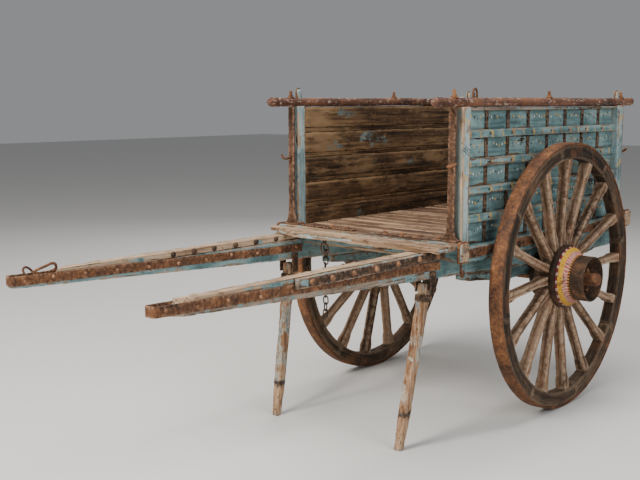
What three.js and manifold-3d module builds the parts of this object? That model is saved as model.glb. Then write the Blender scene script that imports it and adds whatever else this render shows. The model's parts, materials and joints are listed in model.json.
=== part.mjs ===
// A weathered two-wheeled farm cart with long shafts, dished spoked wheels and two prop legs.
// Millimetres, +Z up. The shafts point along -Y and +X is the cart's left side.
// Inside the cart group y is measured from the axle, and the group sets the frame's origin
// on the ground in the middle of the cart's length and width.
import * as THREE from "three";
import { mergeVertices } from "three/addons/utils/BufferGeometryUtils.js";
import Module from "manifold-3d";

const wasm = await Module();
wasm.setup();

// Driving dimensions
const seat = 0.3; // gap left between two pieces that bear on each other
const wheelRadius = 700;
const track = 1260; // between the middle planes of the two rims
const shaftReach = 2610; // axle to the tip of a shaft's iron
const railFront = 1055; // axle to each end of a top rail
const railRear = 1043;
const deckTop = 965;
const plank = 30; // thickness of the floor and foot boards
const axleY = (shaftReach - railRear) / 2; // the axle behind the middle of the length

const tyre = { width: 70, thick: 14 };
const felloe = { width: 66, inner: 616, outer: wheelRadius - tyre.thick - seat };
const rimSides = 64; // flats round the rim, so that one lies on the ground
const hubSides = 24;
const spokes = { count: 16, dish: 38, root: 140, rimGap: 0.6 };
const restTurn = { left: 2.5, right: -8.5 }; // degrees: where each wheel stopped
const naveBand = [-3, 25]; // the iron hoop on the nave, from the rim's middle plane outwards
const arm = { radius: 33, shoulder: 484, tip: 828, bore: 33.4 };
const axleBar = 66;

const shaft = { x: 430, top: 905, cap: 29.4, wide: 76, tipWide: 44, taperFrom: 930, rear: 940 };
const shaftFoot = { tip: 878, taper: 796, axle: 752 }; // underside heights from the tip back to the axle
const woodTip = { left: 2520, right: 2603 }; // the left shaft has rotted back inside its iron
const capTip = { left: 2490, right: 2410 };
const strap = { high: 40, thick: 6, rear: 928, midTip: 908, midRear: 857 };
const cheek = { front: 1920, rear: 928, bottom: 888, top: 932, thick: 20 };

const sill = { inner: 475, outer: 550, top: deckTop - plank, high: 75, iron: 5.5, ironHigh: 45, ironEnd: 848 };
const beam = { half: 585, front: 857, deep: 63, bottom: 880 };
const band = { x: 552, wide: 30, thick: 5 };
const footboard = { half: 567, front: 1088, back: 990 };
const stripBoard = { half: 560, front: 984, back: 926, thick: 27 };

const post = { x: 510, wide: 62, front: 797, deep: 60, tenonX: 24, tenonY: 30 };
const stubTop = { left: { front: 1630, rear: 1664 }, right: { front: 1672, rear: 1664 } }; // one has broken off
const postIron = { x: 498, wide: 44, thick: 12, stand: 22, flare: 27, footWide: 40, footThick: 8, inward: 70 };
const rail = { x: 504, z: 1605, radius: 23 };
const boards = { inner: 478, outer: 500, count: 5, top: 1580, gap: 3 };
const batten = { outer: 526, high: 38, firstTop: 1477, pitch: 133, count: 4 };
const upright = { wide: 28, thick: 5, count: 7, pitch: 200, barHigh: 20 };
const floor = { half: 477, length: 856, planks: 15, gap: 4, joistX: 170, joistWide: 60, joistDeep: 40 };

const bolster = { wide: 72, length: 680, endBottom: 745, bottom: 704 };
const pivot = { x: 427, y: -985, z: 755, radius: 9, bore: 9.4 };
const leg = { lean: 140, footX: 392, top: 24, topWide: 50, midWide: 46, footWide: 38 };
const ear = { thick: 8, wide: 44, top: 834, below: 22 };

// Colours and finishes of the bare materials
const finish = (color, roughness, metalness) => new THREE.MeshStandardMaterial({ color, roughness, metalness });
const greyWood = finish(0x8a6f57, 0.9, 0);
const darkWood = finish(0x5d4836, 0.9, 0);
const blueWood = finish(0x6f9196, 0.85, 0);
const rust = finish(0x74452c, 0.85, 0.4);
const darkIron = finish(0x3f2c22, 0.8, 0.5);

// Geometry helpers

// A closed geometry as a solid, with its shared corners merged and its faces turned outwards.
function solid(geometry) {
  const bare = geometry.clone();
  bare.deleteAttribute("normal");
  bare.deleteAttribute("uv");
  const merged = mergeVertices(bare, 1e-3);
  const vertProperties = new Float32Array(merged.attributes.position.array);
  const triVerts = new Uint32Array(merged.index.array);
  const p = new THREE.Vector3();
  const q = new THREE.Vector3();
  const r = new THREE.Vector3();
  let volume = 0;
  for (let i = 0; i < triVerts.length; i += 3) {
    p.fromArray(vertProperties, triVerts[i] * 3);
    q.fromArray(vertProperties, triVerts[i + 1] * 3);
    r.fromArray(vertProperties, triVerts[i + 2] * 3);
    volume += p.dot(q.cross(r));
  }
  if (volume < 0) {
    for (let i = 0; i < triVerts.length; i += 3) {
      [triVerts[i + 1], triVerts[i + 2]] = [triVerts[i + 2], triVerts[i + 1]];
    }
  }
  return new wasm.Manifold(new wasm.Mesh({ numProp: 3, vertProperties, triVerts }));
}

function geometryOf(made) {
  const mesh = made.getMesh();
  const geometry = new THREE.BufferGeometry();
  geometry.setAttribute("position", new THREE.BufferAttribute(new Float32Array(mesh.vertProperties), 3));
  geometry.setIndex(new THREE.BufferAttribute(new Uint32Array(mesh.triVerts), 1));
  return geometry;
}

const joined = (pieces) => pieces.map(solid).reduce((whole, piece) => whole.add(piece));
const without = (whole, cuts) => cuts.map(solid).reduce((left, cut) => left.subtract(cut), whole);

// A box between two corners.
function block(x0, x1, y0, y1, z0, z1) {
  const box = new THREE.BoxGeometry(x1 - x0, y1 - y0, z1 - z0);
  return box.translate((x0 + x1) / 2, (y0 + y1) / 2, (z0 + z1) / 2);
}

// A straight-sided loft: a prism of rings whose points are moved to outline(section) at each section's z.
function loft(sections, outline) {
  const rings = sections.map(outline);
  const sides = rings[0].length;
  const steps = sections.length - 1;
  const prism = new THREE.CylinderGeometry(1, 1, 1, sides, steps);
  const place = prism.attributes.position;
  for (let i = 0; i < place.count; i++) {
    const ring = Math.round((0.5 - place.getY(i)) * steps);
    const across = Math.hypot(place.getX(i), place.getZ(i));
    const turn = Math.atan2(place.getX(i), place.getZ(i)) / (2 * Math.PI);
    const points = rings[ring];
    const point = points[(Math.round(turn * sides) + sides) % sides];
    const middle = points.reduce((sum, p) => [sum[0] + p[0] / sides, sum[1] + p[1] / sides], [0, 0]);
    const [x, y] = across < 0.5 ? middle : point;
    place.setXYZ(i, x, y, sections[ring].z);
  }
  return prism;
}

// A rectangle with cut corners, centred on (x, y), as eight points.
function cutRectangle({ x = 0, y = 0, wide, deep, cut }) {
  const w = wide / 2;
  const d = deep / 2;
  const corners = [[w, -d + cut], [w, d - cut], [w - cut, d], [-w + cut, d]];
  return [...corners, ...corners.map(([a, b]) => [-a, -b])].map(([a, b]) => [x + a, y + b]);
}

// A timber that lies along Y, lofted through sections of a place, a width and two heights.
function timber(sections) {
  const rings = sections.map((s) => ({ ...s, z: s.y }));
  const outline = (s) => {
    const w = s.wide / 2;
    return [[s.x - w, -s.top], [s.x + w, -s.top], [s.x + w, -s.bottom], [s.x - w, -s.bottom]];
  };
  return loft(rings, outline).rotateX(-Math.PI / 2);
}

// A closed ring of a profile of [radius, along] turned about Y, with its flats at the stated radius.
function turned(profile, sides) {
  const flat = 1 / Math.cos(Math.PI / sides);
  const points = [...profile, profile[0]].map(([radius, along]) => new THREE.Vector2(radius * flat, along));
  return new THREE.LatheGeometry(points, sides, Math.PI / sides);
}

function piece(name, shape, material) {
  const mesh = new THREE.Mesh(geometryOf(shape.isBufferGeometry ? solid(shape) : shape), material);
  mesh.name = name;
  return mesh;
}

// Shafts: each is a tapered timber with a cap plank, a U-shaped iron round its tip and an outer cheek

const shaftWideAt = (front) => {
  const along = THREE.MathUtils.clamp((front - shaft.taperFrom) / (shaftReach - shaft.taperFrom), 0, 1);
  return THREE.MathUtils.lerp(shaft.wide, shaft.tipWide, along);
};
const undersideAt = (front) => {
  if (front <= 0) return shaftFoot.axle;
  const nearer = front < shaft.taperFrom;
  const [from, low, to, high] = nearer
    ? [0, shaftFoot.axle, shaft.taperFrom, shaftFoot.taper]
    : [shaft.taperFrom, shaftFoot.taper, shaftReach, shaftFoot.tip];
  return THREE.MathUtils.mapLinear(front, from, to, low, high);
};

function shaftTimber(hand) {
  const stations = [woodTip[hand], shaft.taperFrom, 0, -shaft.rear];
  return timber(stations.map((front) => ({
    y: -front, x: shaft.x, wide: shaftWideAt(front), bottom: undersideAt(front), top: shaft.top,
  })));
}

function shaftCap(hand) {
  const stations = [capTip[hand], shaft.taperFrom, -floor.length];
  return timber(stations.map((front) => ({
    y: -front, x: shaft.x, wide: shaftWideAt(front), bottom: shaft.top + seat, top: shaft.top + shaft.cap,
  })));
}

function shaftIron() {
  const half = (front, out) => shaftWideAt(front) / 2 + seat + out;
  const inTip = shaftReach - strap.thick;
  const outline = [
    [half(strap.rear, strap.thick), -strap.rear],
    [half(strap.rear, 0), -strap.rear],
    [half(inTip, 0), -inTip],
  ];
  const back = outline.map(([x, y]) => [-x, y]).reverse();
  const tip = [[-half(shaftReach, strap.thick), -shaftReach], [half(shaftReach, strap.thick), -shaftReach]];
  const shape = new THREE.Shape([...outline, ...back, ...tip].map(([x, y]) => new THREE.Vector2(x, y)));
  const iron = new THREE.ExtrudeGeometry(shape, { depth: strap.high, bevelEnabled: false });
  const place = iron.attributes.position;
  for (let i = 0; i < place.count; i++) {
    const middle = THREE.MathUtils.mapLinear(-place.getY(i), strap.rear, shaftReach, strap.midRear, strap.midTip);
    place.setZ(i, place.getZ(i) + middle - strap.high / 2);
  }
  return iron.translate(shaft.x, 0, 0);
}

function shaftCheek() {
  return timber([cheek.front, cheek.rear].map((front) => ({
    y: -front,
    x: shaft.x + shaftWideAt(front) / 2 + strap.thick + 2 * seat + cheek.thick / 2,
    wide: cheek.thick,
    bottom: cheek.bottom,
    top: cheek.top,
  })));
}

// Frame: cross beams cogged over the shafts, sills beside them, boards and floor on top

function crossBeam(end) {
  const [y0, y1] = [beam.front, beam.front + beam.deep].map((y) => y * end).sort((a, b) => a - b);
  const notchHalf = shaft.wide / 2 + 3;
  const notches = [-1, 1].map((side) => block(
    side * shaft.x - notchHalf, side * shaft.x + notchHalf, y0 - 1, y1 + 1, beam.bottom - 1, sill.top + seat));
  return without(solid(block(-beam.half, beam.half, y0, y1, beam.bottom, deckTop)), notches);
}

function beamBand(end) {
  const middle = end * (beam.front + beam.deep / 2);
  const halfY = beam.deep / 2 + seat;
  const rectangle = (Path, out) => new Path([
    [middle - halfY - out, beam.bottom - seat - out],
    [middle + halfY + out, beam.bottom - seat - out],
    [middle + halfY + out, deckTop + seat + out],
    [middle - halfY - out, deckTop + seat + out],
  ].map(([y, z]) => new THREE.Vector2(y, z)));
  const shape = rectangle(THREE.Shape, band.thick);
  shape.holes.push(rectangle(THREE.Path, 0));
  const loop = new THREE.ExtrudeGeometry(shape, { depth: band.wide, bevelEnabled: false });
  // Y and Z of the outline become the cart's, and the depth runs out along X
  return loop.applyMatrix4(new THREE.Matrix4().set(0, 0, 1, band.x, 1, 0, 0, 0, 0, 1, 0, 0, 0, 0, 0, 1));
}

function floorBoards() {
  const pitch = (2 * floor.length + floor.gap) / floor.planks;
  const planks = Array.from({ length: floor.planks }, (_, i) => {
    const y = -floor.length + i * pitch;
    return block(-floor.half, floor.half, y, y + pitch - floor.gap, sill.top + seat, deckTop);
  });
  const joists = [-1, 1].map((side) => block(
    side * floor.joistX - floor.joistWide / 2, side * floor.joistX + floor.joistWide / 2,
    -floor.length, floor.length, sill.top - floor.joistDeep, sill.top + seat + plank / 3));
  return joined([...planks, ...joists]);
}

// Sides: posts and a round top rail, lined with boards that the battens and iron uprights hold

function uprightIrons() {
  const [x0, x1] = [boards.outer + seat, boards.outer + seat + upright.thick];
  const places = Array.from({ length: upright.count }, (_, i) => (i - (upright.count - 1) / 2) * upright.pitch);
  const half = upright.wide / 2;
  const bars = places.map((y) => block(x0, x1, y - half, y + half, sill.top + seat, boards.top));
  const ends = places.at(-1) + half;
  return joined([...bars, block(x0, x1, -ends, ends, boards.top - upright.barHigh, boards.top)]);
}

function sidePanel() {
  const half = post.front - seat;
  const tops = Array.from({ length: batten.count }, (_, i) => batten.firstTop - i * batten.pitch);
  const seams = [boards.top, ...tops.map((top) => top - batten.high / 2), sill.top + seat];
  const lining = seams.slice(1).map((low, i) => block(
    boards.inner, boards.outer, -half, half,
    low + (i < tops.length ? boards.gap / 2 : 0), seams[i] - (i ? boards.gap / 2 : 0)));
  const rows = tops.map((top) => block(
    boards.outer - 1, batten.outer, -half, half, top - batten.high, top));
  const slots = Array.from({ length: upright.count }, (_, i) => {
    const y = (i - (upright.count - 1) / 2) * upright.pitch;
    const reach = upright.wide / 2 + seat;
    return block(boards.outer, boards.outer + upright.thick + 2 * seat, y - reach, y + reach,
      tops.at(-1) - batten.high - 1, tops[0] + 1);
  });
  return without(joined([...lining, ...rows]), slots);
}

function cornerPost(end, top) {
  const [y0, y1] = [post.front, post.front + post.deep].map((y) => y * end).sort((a, b) => a - b);
  const middle = (y0 + y1) / 2;
  return joined([
    block(post.x - post.wide / 2, post.x + post.wide / 2, y0, y1, sill.top + seat, rail.z - rail.radius - seat),
    block(rail.x - post.tenonX / 2, rail.x + post.tenonX / 2, middle - post.tenonY / 2, middle + post.tenonY / 2,
      rail.z - rail.radius - 1, top),
  ]);
}

function topRail() {
  const r = rail.radius;
  const profile = [
    [0, -railFront], [r * 0.62, -railFront + 5], [r * 1.08, -railFront + 22], [r * 1.08, -railFront + 42],
    [r * 0.8, -railFront + 58], [r, -railFront + 66], [r, railRear - 12], [r * 0.7, railRear], [0, railRear],
  ];
  const pole = new THREE.LatheGeometry(profile.map(([a, b]) => new THREE.Vector2(a, b)), 16, Math.PI / 16);
  pole.translate(rail.x, 0, 0).translate(0, 0, rail.z);
  const mortises = [-1, 1].map((end) => {
    const middle = end * (post.front + post.deep / 2);
    const [halfX, halfY] = [post.tenonX / 2 + seat, post.tenonY / 2 + seat];
    return block(rail.x - halfX, rail.x + halfX, middle - halfY, middle + halfY, rail.z - 2 * r, rail.z + 2 * r);
  });
  return without(solid(pole), mortises);
}

// A flat iron that stands off a post, flared at its foot, with a long strap along the cross beam.
function cornerIron(end) {
  const half = postIron.wide / 2;
  const foot = deckTop + seat;
  const low = foot + postIron.footThick;
  const flare = postIron.flare;
  const outline = new THREE.Shape();
  outline.moveTo(-half - flare, foot);
  outline.lineTo(half + flare, foot);
  outline.lineTo(half + flare, low);
  outline.absarc(half + flare, low + flare, flare, -Math.PI / 2, -Math.PI, true);
  outline.lineTo(half, boards.top);
  outline.lineTo(-half, boards.top);
  outline.lineTo(-half, low + flare);
  outline.absarc(-half - flare, low + flare, flare, 0, -Math.PI / 2, true);
  const bar = new THREE.ExtrudeGeometry(outline, { depth: postIron.thick, bevelEnabled: false, curveSegments: 5 });
  const back = post.front + post.deep + postIron.stand;
  // the outline's height becomes Z, and its thickness runs away from the post
  bar.rotateX(Math.PI / 2).translate(postIron.x, end < 0 ? -back : back + postIron.thick, 0);
  const middle = back + postIron.thick / 2;
  const [y0, y1] = [-0.5, 0.5].map((k) => (middle + k * postIron.footWide) * end).sort((a, b) => a - b);
  const reach = block(postIron.inward, band.x - band.thick, y0, y1, foot, low);
  return joined([bar, reach]);
}

// Wheels, made round Y with the outboard side at +Y and turned into place by their group

function naveAndSpokes(turn) {
  const [band0, band1] = naveBand;
  const shape = [
    [arm.bore, -140], [118, -140], [122, -112], [156, -84], [156, band0 - seat], [150, band0 - seat],
    [150, band1 + seat], [157, band1 + seat], [150, 44], [128, 66], [112, 80], [99.5, 93], [arm.bore, 93],
  ];
  // along: distance out from the hub, with the size of the section and its cut corners there
  const sections = [
    { z: spokes.root, wide: 40, deep: 58, cut: 1.5 },
    { z: 222, wide: 40, deep: 58, cut: 1.5 },
    { z: 262, wide: 34, deep: 56, cut: 11 },
    { z: 520, wide: 34, deep: 54, cut: 11 },
    { z: 566, wide: 45, deep: 56, cut: 1.5 },
    { z: felloe.inner - spokes.rimGap, wide: 47, deep: 56, cut: 1.5 },
  ];
  const leanAt = (z) => THREE.MathUtils.mapLinear(z, spokes.root, felloe.inner, -spokes.dish, 0);
  const spoke = loft(sections, (s) => cutRectangle({ ...s, y: leanAt(s.z) }));
  const ring = Array.from({ length: spokes.count }, (_, i) =>
    spoke.clone().rotateY(THREE.MathUtils.degToRad(turn + (i * 360) / spokes.count)));
  const bore = new THREE.CylinderGeometry(arm.bore, arm.bore, 400, hubSides);
  return without(joined([turned(shape, hubSides), ...ring]), [bore]);
}

const ringProfile = (inner, outer, low, high) => [[inner, low], [outer, low], [outer, high], [inner, high]];

function wheel(hand, side) {
  const group = new THREE.Group();
  const half = tyre.width / 2;
  const sleeve = [
    [100, 93 + seat], [106, 93 - 4], [112 + seat, 80 + 3], [118, 98], [116, 163], [108, 163], [106, 104],
    [100, 104],
  ];
  const parts = [
    ["tyre", turned(ringProfile(felloe.outer + seat, wheelRadius, -half, half), rimSides), rust],
    ["felloes", turned(ringProfile(felloe.inner, felloe.outer, -felloe.width / 2, felloe.width / 2), rimSides), darkWood],
    ["nave_and_spokes", naveAndSpokes(restTurn[hand]), greyWood],
    ["nave_band", turned(ringProfile(150 + seat, 165, ...naveBand), hubSides), darkIron],
    ["nave_sleeve", turned(sleeve, hubSides), darkIron],
  ];
  parts.forEach(([name, shape, material]) => group.add(piece(`wheel_${hand}_${name}`, shape, material)));
  group.rotation.z = -Math.PI / 2;
  group.position.set(track / 2, 0, wheelRadius);
  const placed = new THREE.Group();
  placed.scale.x = side;
  placed.add(group);
  return placed;
}

// Axle: a square bar with a round arm and a linchpin at each end, let into the bolsters

const pin = { x: track / 2 + 128, wide: 14, up: 58, down: 62, head: 24 };

function axle() {
  const half = axleBar / 2;
  const bar = block(-arm.shoulder, arm.shoulder, -half, half, wheelRadius - half, wheelRadius + half);
  const arms = new THREE.CylinderGeometry(arm.radius, arm.radius, 2 * arm.tip, hubSides);
  arms.rotateZ(Math.PI / 2).translate(0, 0, wheelRadius);
  const hole = pin.wide / 2 + seat;
  const holes = [-1, 1].map((side) => block(
    side * pin.x - hole, side * pin.x + hole, -hole, hole, wheelRadius - 2 * half, wheelRadius + 2 * half));
  return without(joined([bar, arms]), holes);
}

function linchpin() {
  const half = pin.wide / 2;
  const top = wheelRadius + pin.up;
  return joined([
    block(pin.x - half, pin.x + half, -half, half, wheelRadius - pin.down, top),
    block(pin.x - half, pin.x + half, -pin.head / 2, pin.head / 2, wheelRadius + arm.radius + seat, top),
  ]);
}

// A washer that fills the run of the arm between the nave's sleeve and the linchpin.
function washer() {
  const from = 104 + seat;
  const to = pin.x - pin.wide / 2 - track / 2 - seat;
  const ring = turned(ringProfile(arm.bore, 62, from, to), hubSides);
  return ring.rotateZ(-Math.PI / 2).translate(track / 2, 0, wheelRadius);
}

function axleBolster() {
  const stations = [[bolster.length, bolster.endBottom], [300, bolster.bottom], [0, bolster.bottom],
    [-300, bolster.bottom], [-bolster.length, bolster.endBottom]];
  const body = timber(stations.map(([front, bottom]) => ({
    y: -front, x: shaft.x, wide: bolster.wide, bottom, top: undersideAt(front) - seat,
  })));
  const half = axleBar / 2 + seat;
  const notch = block(0, 2 * shaft.x, -half, half, wheelRadius - half - 1, wheelRadius + half);
  return without(solid(body), [notch]);
}

// Prop legs: each hangs on a pin between two iron ears at the shaft's sides

function propEars() {
  const half = shaft.wide / 2 + seat;
  const plates = [-1, 1].map((side) => {
    const near = shaft.x + side * half;
    const far = near + side * ear.thick;
    return block(Math.min(near, far), Math.max(near, far), pivot.y - ear.wide / 2, pivot.y + ear.wide / 2,
      pivot.z - ear.below, ear.top);
  });
  const across = new THREE.CylinderGeometry(pivot.radius, pivot.radius, 2 * half + ear.thick, 16);
  across.rotateZ(Math.PI / 2).translate(shaft.x, pivot.y, pivot.z);
  return joined([...plates, across]);
}

function propLeg() {
  const footY = pivot.y - leg.lean;
  const fall = pivot.z;
  const slope = leg.lean / fall;
  const along = (z) => (pivot.z - z) / fall;
  const sections = [[0, leg.footWide], [170, leg.midWide], [430, leg.midWide], [pivot.z + leg.top, leg.topWide]];
  const body = loft(sections.map(([z, wide]) => ({ z, wide, deep: wide, cut: 5 })), (s) => cutRectangle({
    ...s,
    x: THREE.MathUtils.lerp(pivot.x, leg.footX, along(s.z)),
    y: footY + s.z * slope,
  }));
  const hole = new THREE.CylinderGeometry(pivot.bore, pivot.bore, 200, 16);
  hole.rotateZ(Math.PI / 2).translate(pivot.x, pivot.y, pivot.z);
  return without(solid(body), [hole]);
}

// Assembly

const cart = new THREE.Group();
cart.position.y = axleY;

[
  ["front_footboard", block(-footboard.half, footboard.half, -footboard.front, -footboard.back, sill.top + seat, deckTop)],
  ["front_strip_board", block(-stripBoard.half, stripBoard.half, -stripBoard.front, -stripBoard.back,
    sill.top + seat, sill.top + seat + stripBoard.thick)],
  ["front_cross_beam", crossBeam(-1)],
  ["rear_cross_beam", crossBeam(1)],
  ["floor_boards", floorBoards()],
].forEach(([name, shape]) => cart.add(piece(name, shape, greyWood)));
cart.add(piece("axle", axle(), darkIron));

[["left", 1], ["right", -1]].forEach(([hand, side]) => {
  const half = new THREE.Group();
  half.scale.x = side;
  const sillY = beam.front - seat;
  [
    ["shaft", shaftTimber(hand), blueWood],
    ["shaft_cap", shaftCap(hand), greyWood],
    ["shaft_iron", shaftIron(), rust],
    ["shaft_cheek", shaftCheek(), blueWood],
    ["sill", block(sill.inner, sill.outer, -sillY, sillY, sill.top - sill.high, sill.top), blueWood],
    ["sill_iron", block(sill.outer + seat, sill.outer + seat + sill.iron, -sill.ironEnd, sill.ironEnd,
      sill.top - sill.ironHigh - 8, sill.top - 8), rust],
    ["side_panel", sidePanel(), blueWood],
    ["upright_irons", uprightIrons(), darkIron],
    ["top_rail", topRail(), rust],
    ["front_post", cornerPost(-1, stubTop[hand].front), blueWood],
    ["rear_post", cornerPost(1, stubTop[hand].rear), blueWood],
    ["front_post_iron", cornerIron(-1), rust],
    ["rear_post_iron", cornerIron(1), rust],
    ["front_beam_band", beamBand(-1), rust],
    ["rear_beam_band", beamBand(1), rust],
    ["axle_bolster", axleBolster(), blueWood],
    ["linchpin", linchpin(), darkIron],
    ["axle_washer", washer(), darkIron],
    ["prop_ears", propEars(), darkIron],
    ["prop_leg", propLeg(), greyWood],
  ].forEach(([name, shape, material]) => half.add(piece(`${name}_${hand}`, shape, material)));
  cart.add(half, wheel(hand, side));
});

const root = new THREE.Group();
root.add(cart);
export default root;
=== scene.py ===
# A weathered two-wheeled farm cart: its looks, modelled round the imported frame
import json
import math
import random

import bpy
from mathutils import Matrix, Vector


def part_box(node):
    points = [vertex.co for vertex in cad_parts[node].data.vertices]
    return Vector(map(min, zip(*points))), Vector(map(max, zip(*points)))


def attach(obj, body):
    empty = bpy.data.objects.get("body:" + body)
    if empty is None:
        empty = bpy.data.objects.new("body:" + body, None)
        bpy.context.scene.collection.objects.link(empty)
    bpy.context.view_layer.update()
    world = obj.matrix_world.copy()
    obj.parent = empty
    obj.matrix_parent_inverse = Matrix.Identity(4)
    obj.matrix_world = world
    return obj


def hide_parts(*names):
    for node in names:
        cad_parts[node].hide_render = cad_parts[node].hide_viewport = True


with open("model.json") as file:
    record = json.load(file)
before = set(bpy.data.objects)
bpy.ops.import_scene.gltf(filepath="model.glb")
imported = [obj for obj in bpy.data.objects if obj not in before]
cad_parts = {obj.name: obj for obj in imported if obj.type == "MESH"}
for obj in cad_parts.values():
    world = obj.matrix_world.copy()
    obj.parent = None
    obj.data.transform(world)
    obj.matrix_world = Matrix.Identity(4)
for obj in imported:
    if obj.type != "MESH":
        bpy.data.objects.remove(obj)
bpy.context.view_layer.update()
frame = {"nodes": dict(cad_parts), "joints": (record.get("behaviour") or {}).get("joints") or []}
random.seed(11)
print("frame loaded:", len(frame["nodes"]), "nodes")

hands = [("left", 1), ("right", -1)]  # the cart's left is +X
axleAt = (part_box("axle")[0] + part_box("axle")[1]) / 2
rimAt = {hand: sum(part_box(f"wheel_{hand}_tyre"), Vector()) / 2 for hand, side in hands}


# Modelling helpers

def clearSelection():
    if bpy.context.mode != "OBJECT":
        bpy.ops.object.mode_set(mode="OBJECT")
    bpy.ops.object.select_all(action="DESELECT")


def activate(piece):
    clearSelection()
    piece.select_set(True)
    bpy.context.view_layer.objects.active = piece


def edit(piece, kind="EDGE"):
    activate(piece)
    bpy.context.tool_settings.mesh_select_mode = [kind == each for each in ("VERT", "EDGE", "FACE")]
    bpy.ops.object.mode_set(mode="EDIT")


def leave():
    bpy.ops.object.mode_set(mode="OBJECT")


def pick(piece, test, kind="EDGE"):
    # select in object mode what passes the test, and go on in edit mode
    if bpy.context.mode != "OBJECT":
        leave()
    lists = {"VERT": piece.data.vertices, "EDGE": piece.data.edges, "FACE": piece.data.polygons}
    for items in lists.values():
        items.foreach_set("select", [False] * len(items))
    for item in lists[kind]:
        item.select = test(item)
    edit(piece, kind)


def newPiece(name):
    piece = bpy.context.object
    piece.name = piece.data.name = name
    bpy.ops.object.transform_apply(location=True, rotation=True, scale=True)
    return piece


def planeAt(name, place, wide, deep, tilt=(0, 0, 0)):
    clearSelection()
    bpy.ops.mesh.primitive_plane_add(size=1, location=place, rotation=tilt)
    bpy.context.object.scale = (wide, deep, 1)
    return newPiece(name)


def cubeBetween(name, low, high):
    low, high = Vector(low), Vector(high)
    clearSelection()
    bpy.ops.mesh.primitive_cube_add(size=1, location=(low + high) / 2, scale=high - low)
    return newPiece(name)


def beamThrough(name, stations):
    # a timber along Y: a plane at the first station, extruded and scaled to each of the others
    # station: y, middle x, width, bottom, top
    def middle(station):
        y, x, width, bottom, top = station
        return Vector((x, y, (bottom + top) / 2))

    first = stations[0]
    piece = planeAt(name, middle(first), first[2], first[4] - first[3], (math.pi / 2, 0, 0))
    edit(piece, "FACE")
    bpy.ops.mesh.select_all(action="SELECT")
    for here, there in zip(stations, stations[1:]):
        bpy.ops.mesh.extrude_region_move(TRANSFORM_OT_translate={"value": middle(there) - middle(here)})
        grow = (there[2] / here[2], 1, (there[4] - there[3]) / (here[4] - here[3]))
        bpy.ops.transform.resize(value=grow, center_override=middle(there))
    bpy.ops.mesh.select_all(action="SELECT")
    bpy.ops.mesh.fill_holes(sides=0)
    bpy.ops.mesh.normals_make_consistent(inside=False)
    leave()
    return piece


def turned(name, centre, axis, profile, sides, closed=False):
    # a ring extruded and scaled along an axis from one station of (along, radius) to the next
    direction = Vector([1.0 if i == axis else 0.0 for i in range(3)])
    tilt = [(0, math.pi / 2, 0), (math.pi / 2, 0, 0), (0, 0, 0)][axis]
    clearSelection()
    bpy.ops.mesh.primitive_circle_add(vertices=sides, radius=profile[0][1],
                                      location=centre + direction * profile[0][0], rotation=tilt)
    piece = newPiece(name)
    edit(piece, "EDGE")
    bpy.ops.mesh.select_all(action="SELECT")
    for (along, radius), (nextAlong, nextRadius) in zip(profile, profile[1:]):
        bpy.ops.mesh.extrude_region_move(TRANSFORM_OT_translate={"value": direction * (nextAlong - along)})
        bpy.ops.transform.resize(value=[nextRadius / radius] * 3, center_override=centre + direction * nextAlong)
    if closed:
        bpy.ops.mesh.select_all(action="DESELECT")
        bpy.ops.mesh.select_non_manifold()
        bpy.ops.mesh.bridge_edge_loops()
    bpy.ops.mesh.select_all(action="SELECT")
    if not closed:
        bpy.ops.mesh.fill_holes(sides=0)
    bpy.ops.mesh.normals_make_consistent(inside=False)
    leave()
    return piece


def rod(name, points, radius, closed=False):
    # a round iron rod bent along a smooth curve
    clearSelection()
    curve = bpy.data.curves.new(name, "CURVE")
    curve.dimensions = "3D"
    curve.bevel_depth = radius
    curve.bevel_resolution = 2
    curve.resolution_u = 5
    curve.use_fill_caps = True
    line = curve.splines.new("NURBS")
    line.points.add(len(points) - 1)
    for point, place in zip(line.points, points):
        point.co = (*place, 1)
    line.order_u = 3
    line.use_endpoint_u = not closed
    line.use_cyclic_u = closed
    piece = bpy.data.objects.new(name, curve)
    bpy.context.scene.collection.objects.link(piece)
    activate(piece)
    bpy.ops.object.convert(target="MESH")
    return bpy.context.object


def copyOf(piece, name, matrix):
    twin = piece.copy()
    twin.data = piece.data.copy()
    twin.name = twin.data.name = name
    twin.data.transform(matrix)
    bpy.context.scene.collection.objects.link(twin)
    return twin


def joinAs(name, pieces):
    clearSelection()
    for piece in pieces:
        piece.select_set(True)
    bpy.context.view_layer.objects.active = pieces[0]
    if len(pieces) > 1:
        bpy.ops.object.join()
    pieces[0].name = pieces[0].data.name = name
    return pieces[0]


def about(centre, axis, angle):
    return Matrix.Translation(centre) @ Matrix.Rotation(angle, 4, axis) @ Matrix.Translation(-Vector(centre))


# Wear: loops for the displacement to act on, worn edges, chips and bends

def cloud(name, size, depth, colour=False):
    texture = bpy.data.textures.new(name, "CLOUDS")
    texture.noise_scale = size
    texture.noise_depth = depth
    texture.cloud_type = "COLOR" if colour else "GRAYSCALE"
    return texture


clouds = {
    "bend": cloud("bend", 0.45, 1, True),  # slow warp of a whole timber
    "chip": cloud("chip", 0.022, 3),  # bites out of its edges
    "dent": cloud("dent", 0.06, 2),  # uneven faces
    "pit": cloud("pit", 0.012, 3),  # rust
}


def roughen(piece, kind, strength, group="", level=0.5):
    activate(piece)
    lumps = piece.modifiers.new(kind, "DISPLACE")
    lumps.texture = clouds[kind]
    lumps.texture_coords = "LOCAL"
    lumps.direction = "RGB_TO_XYZ" if kind == "bend" else "NORMAL"
    lumps.strength = strength
    lumps.mid_level = level
    lumps.vertex_group = group
    bpy.ops.object.modifier_apply(modifier=lumps.name)


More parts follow.
